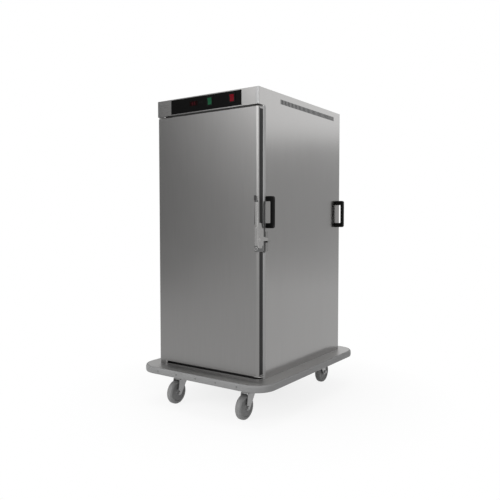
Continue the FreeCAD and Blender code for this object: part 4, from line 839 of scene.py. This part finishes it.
# %% Latch shade strip
SHADE_STRIP_FOOT, SHADE_STRIP_TOP = 0.832, 1.080
SHADE_STRIP_FRONT, SHADE_STRIP_BACK = -0.3918, -0.3785
SHADE_STRIP_LIFT = 0.0008
SHADE_STRIP_SINK = 0.0010


def post(section, foot, top):
    """A post: the section's outline (x, y) at the foot and at the top, with a point to close each end."""
    return capped([np.column_stack((section, np.full(len(section), height))) for height in (foot, top)])


inner, outer = flank - SHADE_STRIP_SINK, flank + SHADE_STRIP_LIFT
section = [(inner, SHADE_STRIP_FRONT), (outer, SHADE_STRIP_FRONT), (outer, SHADE_STRIP_BACK), (inner, SHADE_STRIP_BACK)]
# The dark strip on the cabinet's edge is painted shade of the lever and the handle.
shade_strip = post(softened(section, SHADE_STRIP_LIFT), SHADE_STRIP_FOOT, SHADE_STRIP_TOP)
skin("latch_shade_strip", shade_strip, "cabinet", shade_strip_grey, closed=TUBE)

# %% [markdown]
# ## Cord gland
# The mains cord would leave through a plastic gland at the back of the head. Its nut has grips all round, so
# the lathe surface gets a ripple: the radius of the nut's points grows and shrinks twelve times in a turn.

# %% Cord gland
GRIPS = 12
GRIP_DEPTH = 0.0005
GLAND_STEPS = 96
GLAND_BORE, GLAND_TUBE = 0.0055, 0.0098
GLAND_SOFT = 0.0008
NUT_INSET = 0.0006
NUT_LENGTH, NUT_SLOPE_END = 0.0075, 0.0095
STEP, TAPER = 0.001, 0.002

low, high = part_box("cable_gland")
centre, half = middle_of("cable_gland")
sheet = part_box("rear_panel")[1][1]
nut, start, end = half[0] - NUT_INSET, low[1] - sheet, high[1] - sheet
ring = [(start, GLAND_BORE), (start, GLAND_TUBE), (0, GLAND_TUBE), (0, nut), (NUT_LENGTH, nut),
        (NUT_SLOPE_END, GLAND_TUBE + STEP), (end - STEP, GLAND_TUBE - TAPER), (end, GLAND_BORE + STEP),
        (end, GLAND_BORE)]
profile = softened(ring, GLAND_SOFT)
grid = turned(profile, "y", (centre[0], sheet, centre[2]), GLAND_STEPS)
turn = np.linspace(0, 2 * np.pi, GLAND_STEPS, endpoint=False)
on_nut = profile[:, 1] > GLAND_TUBE + TAPER
ripple = np.where(on_nut, GRIP_DEPTH, 0)[:, None] * np.cos(GRIPS * turn)
grid[..., 0] += ripple * np.sin(turn)
grid[..., 2] += ripple * np.cos(turn)
gland = skin("gland_nut", grid, "cabinet", black_grain)
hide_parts("cable_gland")

# %% [markdown]
# ## Temperature display
# The display shows two plain digits. Text objects would need a font, so each lit bar is a long hexagon, a
# tenth of a millimetre proud of the lens, and all bars are worked out together from their middles and
# directions.

# %% Temperature display
BARS = {"a": (0.5, 1.0, 0), "g": (0.5, 0.5, 0), "d": (0.5, 0.0, 0), "f": (0.0, 0.75, 1),
        "b": (1.0, 0.75, 1), "e": (0.0, 0.25, 1), "c": (1.0, 0.25, 1)}
DIGITS = ("acdefg", "acdfg")
DIGIT_WIDTH, DIGIT_HEIGHT, DIGIT_PITCH = 0.0072, 0.0140, 0.0135
BAR_WIDTH, BAR_LIFT, SLANT = 0.0018, 0.0001, 0.10
BAR_GAP = 0.3
BAR_TIP = 0.8

low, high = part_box("display_module")
glass = low[1]
display_x, display_z = (low[0] + high[0]) / 2, (low[2] + high[2]) / 2
display_end = high[0]
bars = np.array([(*BARS[bar], order) for order, digit in enumerate(DIGITS) for bar in digit])
standing = bars[:, 2:3] > 0
reach = (np.where(standing, DIGIT_HEIGHT / 2, DIGIT_WIDTH) - BAR_WIDTH * BAR_GAP) / 2
outline_long = np.array((-1.0, -BAR_TIP, BAR_TIP, 1.0, BAR_TIP, -BAR_TIP)) * reach
outline_wide = np.array((0.0, 1.0, 1.0, 0.0, -1.0, -1.0)) * BAR_WIDTH / 2
across = np.where(standing, outline_wide, outline_long)
rising = np.where(standing, outline_long, outline_wide)
flat_x = (bars[:, :1] - 0.5) * DIGIT_WIDTH + (bars[:, 3:4] - 0.5) * DIGIT_PITCH + across
flat_z = (bars[:, 1:2] - 0.5) * DIGIT_HEIGHT + rising
flat_x = flat_x + flat_z * SLANT
rings = np.stack((flat_x + display_x, np.full_like(flat_x, glass), flat_z + display_z), axis=-1)
hub = np.broadcast_to(rings.mean(axis=1, keepdims=True), rings.shape)
forward = np.array((0, -BAR_LIFT, 0))
bars_grid = np.stack((hub, rings, rings + forward, hub + forward), axis=1)
skin("display_digits", bars_grid, "cabinet", digit_red, closed=TUBE)

# %% [markdown]
# ## Panel keys
# Two low round keys beside the display set the temperature. They are domes like the cap on the latch, turned
# to face the front.

# %% Panel keys
KEY_RADIUS, KEY_LIFT = 0.004, 0.0006
KEY_RIM, KEY_CROWN = 0.5, 0.6
KEY_SOFT = 0.0005
KEY_STEPS = 32
KEY_GAPS = (0.008, 0.022)

panel_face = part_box("control_panel")[0][1]
key = low_dome(KEY_RADIUS, -KEY_LIFT, KEY_RIM, KEY_CROWN, KEY_SOFT)
keys = np.stack([turned(key, "y", (display_end + gap, panel_face, display_z), KEY_STEPS) for gap in KEY_GAPS])
skin("panel_keys", keys, "cabinet", black_grain, closed=TUBE)

# %% [markdown]
# ## Surround
# A studio for metal is mostly white walls. The world could be white for every ray, but that would light the
# cabinet evenly from all sides and flatten it. So the camera, reflections and clear things see white, and a
# weaker grey gives the light.

# %% Surround
WHITE = (1, 1, 1, 1)
SEEN_RAYS = ("Is Camera Ray", "Is Glossy Ray", "Is Transmission Ray")
SURROUND = 0.40


def seen(tree):
    """1 for a ray that comes from the camera, a reflection or a clear thing, and 0 for the others."""
    camera_ray, glossy_ray, clear_ray = (tree.make("ShaderNodeLightPath", {}, {}, name) for name in SEEN_RAYS)
    return camera_ray + glossy_ray + clear_ray


world = bpy.data.worlds.new("surround")
scene.world = world
world.use_nodes = True
sky = Tree(world.node_tree)
feed(sky.tree, sky.tree.nodes["Background"].inputs["Color"], sky.blend(seen(sky), grey(SURROUND), WHITE))
print("surround", SURROUND)

# %% [markdown]
# ## Soft boxes
# Soft boxes stand in front, above and behind to the right. Sheet steel shows the lamps themselves, so two of
# them do half the work: reflections don't see the key box, which would be a bright patch on the door, and
# matt surfaces don't see the rear box, which is there for its reflection in the side panel.


# %% Soft boxes
def aimed(holder, place, aim):
    """Puts a lamp or a card at a place and turns its front, which is its own -Z side, to what it aims at."""
    way_x, way_y, way_z = np.subtract(aim, place)
    holder.location = place
    holder.rotation_euler = (math.atan2(math.hypot(way_x, way_y), -way_z), 0, math.atan2(-way_x, way_y))
    scene.collection.objects.link(holder)


def soft_box(name, place, aim, size, power):
    """A soft box: width, height and power in watts."""
    lamp = bpy.data.lights.new(name, "AREA")
    lamp.shape = "RECTANGLE"
    lamp.size, lamp.size_y = size
    lamp.energy = power
    holder = bpy.data.objects.new(name, lamp)
    aimed(holder, place, aim)
    return holder


soft_box("front_box", (-0.9, -4.4, 3.2), (0, 0, 0.8), (3.0, 1.8), 60)
key_box = soft_box("key_box", (-1.8, -3.6, 1.7), (0, -0.5, 0.6), (2.6, 2.0), 40)
key_box.visible_glossy = False
soft_box("edge_box", (2.2, -3.6, 2.35), (0.3, -0.4, 1.4), (7.5, 1.6), 85)
rear_box = soft_box("rear_box", (2.6, 3.9, 3.1), (0.3, 0, 1.3), (3.2, 2.2), 17)
rear_box.visible_diffuse = False
soft_box("roof_box", (0.2, -0.2, 4.4), (0, 0, 1.0), (3.0, 3.0), 70)
print("soft boxes", len(bpy.data.lights))

# %% [markdown]
# ## Grey cards
# In a white studio plain steel would look white all over. Four grey cards that only reflections see give it
# shape, as a photographer's flags do: they shade the left and the middle of the door, the left end of the
# tray and the middle of the side panel.


# %% Grey cards
def flat_sheet(name, half_x, half_y):
    """A level rectangle about its own origin."""
    corners = [(-half_x, -half_y, 0), (half_x, -half_y, 0), (half_x, half_y, 0), (-half_x, half_y, 0)]
    mesh = bpy.data.meshes.new(name)
    mesh.from_pydata(corners, [], [(0, 1, 2, 3)])
    return bpy.data.objects.new(name, mesh)


def flag_card(name, place, aim, size, level, sharp):
    """A grey card that only reflections see. It covers what is behind it by sharp times (1 - x^2)(1 - y^2),
    at most fully, where x and y run from -1 to 1 across the card."""
    half_x, half_y = size[0] / 2, size[1] / 2
    card = flat_sheet(name, half_x, half_y)
    aimed(card, place, aim)
    paper = Finish(name)
    x, y = (paper.axis(axis, (1 / half_x, 1 / half_y, 1)) for axis in "XY")
    cover = (1 - x * x) * (1 - y * y) * sharp
    clear = paper.make("ShaderNodeBsdfTransparent", {}, {})
    glow = paper.make("ShaderNodeEmission", {}, {"Color": grey(level), "Strength": 1.0})
    paper.surface(paper.make("ShaderNodeMixShader", {}, {0: cover.at_most(1.0), 1: clear, 2: glow}))
    card.data.materials.append(paper.material)
    card.visible_camera = card.visible_diffuse = card.visible_shadow = False
    print(name, "at", place)


flag_card("left_flag", (-3.9, -2.9, 1.6), (0, -0.4, 1.2), (3.3, 3.3), 0.34, 6)
flag_card("middle_flag", (-2.4, -4.1, 0.95), (0, -0.4, 0.95), (1.6, 1.1), 0.60, 2)
flag_card("back_flag", (-2.9, 2.9, 1.2), (-0.4, 0, 0.3), (3.0, 2.0), 0.55, 4)
flag_card("right_flag", (2.6, 3.2, 1.15), (0.3, 0, 1.0), (4.0, 2.0), 0.72, 1.2)

# %% [markdown]
# ## Floor
# The floor is pale and catches the cabinet's shadow. A grey horizon would cut the white picture in two, so
# the floor fades to plain white away from the cabinet for the rays that also see the surround as white.

# %% Floor
FLOOR_HALF = 14.0
FLOOR_LEVEL = 0.8
FLOOR_ROUGH = 0.9
FADE_START, FADE_END = 0.15, 1.15
FADE_LEAST = 0.80

floor = flat_sheet("floor", FLOOR_HALF, FLOOR_HALF)
scene.collection.objects.link(floor)
pale = Finish("pale_floor", base_color=grey(FLOOR_LEVEL), roughness=FLOOR_ROUGH)
distance = pale.make("ShaderNodeVectorMath", {"operation": "LENGTH"}, {0: pale.place()}, "Value")
fade = pale.make("ShaderNodeMapRange", {}, {"Value": distance, "From Min": FADE_START, "From Max": FADE_END,
                                            "To Min": FADE_LEAST})
glow = pale.make("ShaderNodeEmission", {}, {"Color": WHITE, "Strength": 1.0})
matt = Signal(pale.tree, pale.shader.outputs[0])
pale.surface(pale.make("ShaderNodeMixShader", {}, {0: seen(pale) * fade, 1: matt, 2: glow}))
floor.data.materials.append(pale.material)
print("floor fades from", FADE_START, "to", FADE_END, "metres")
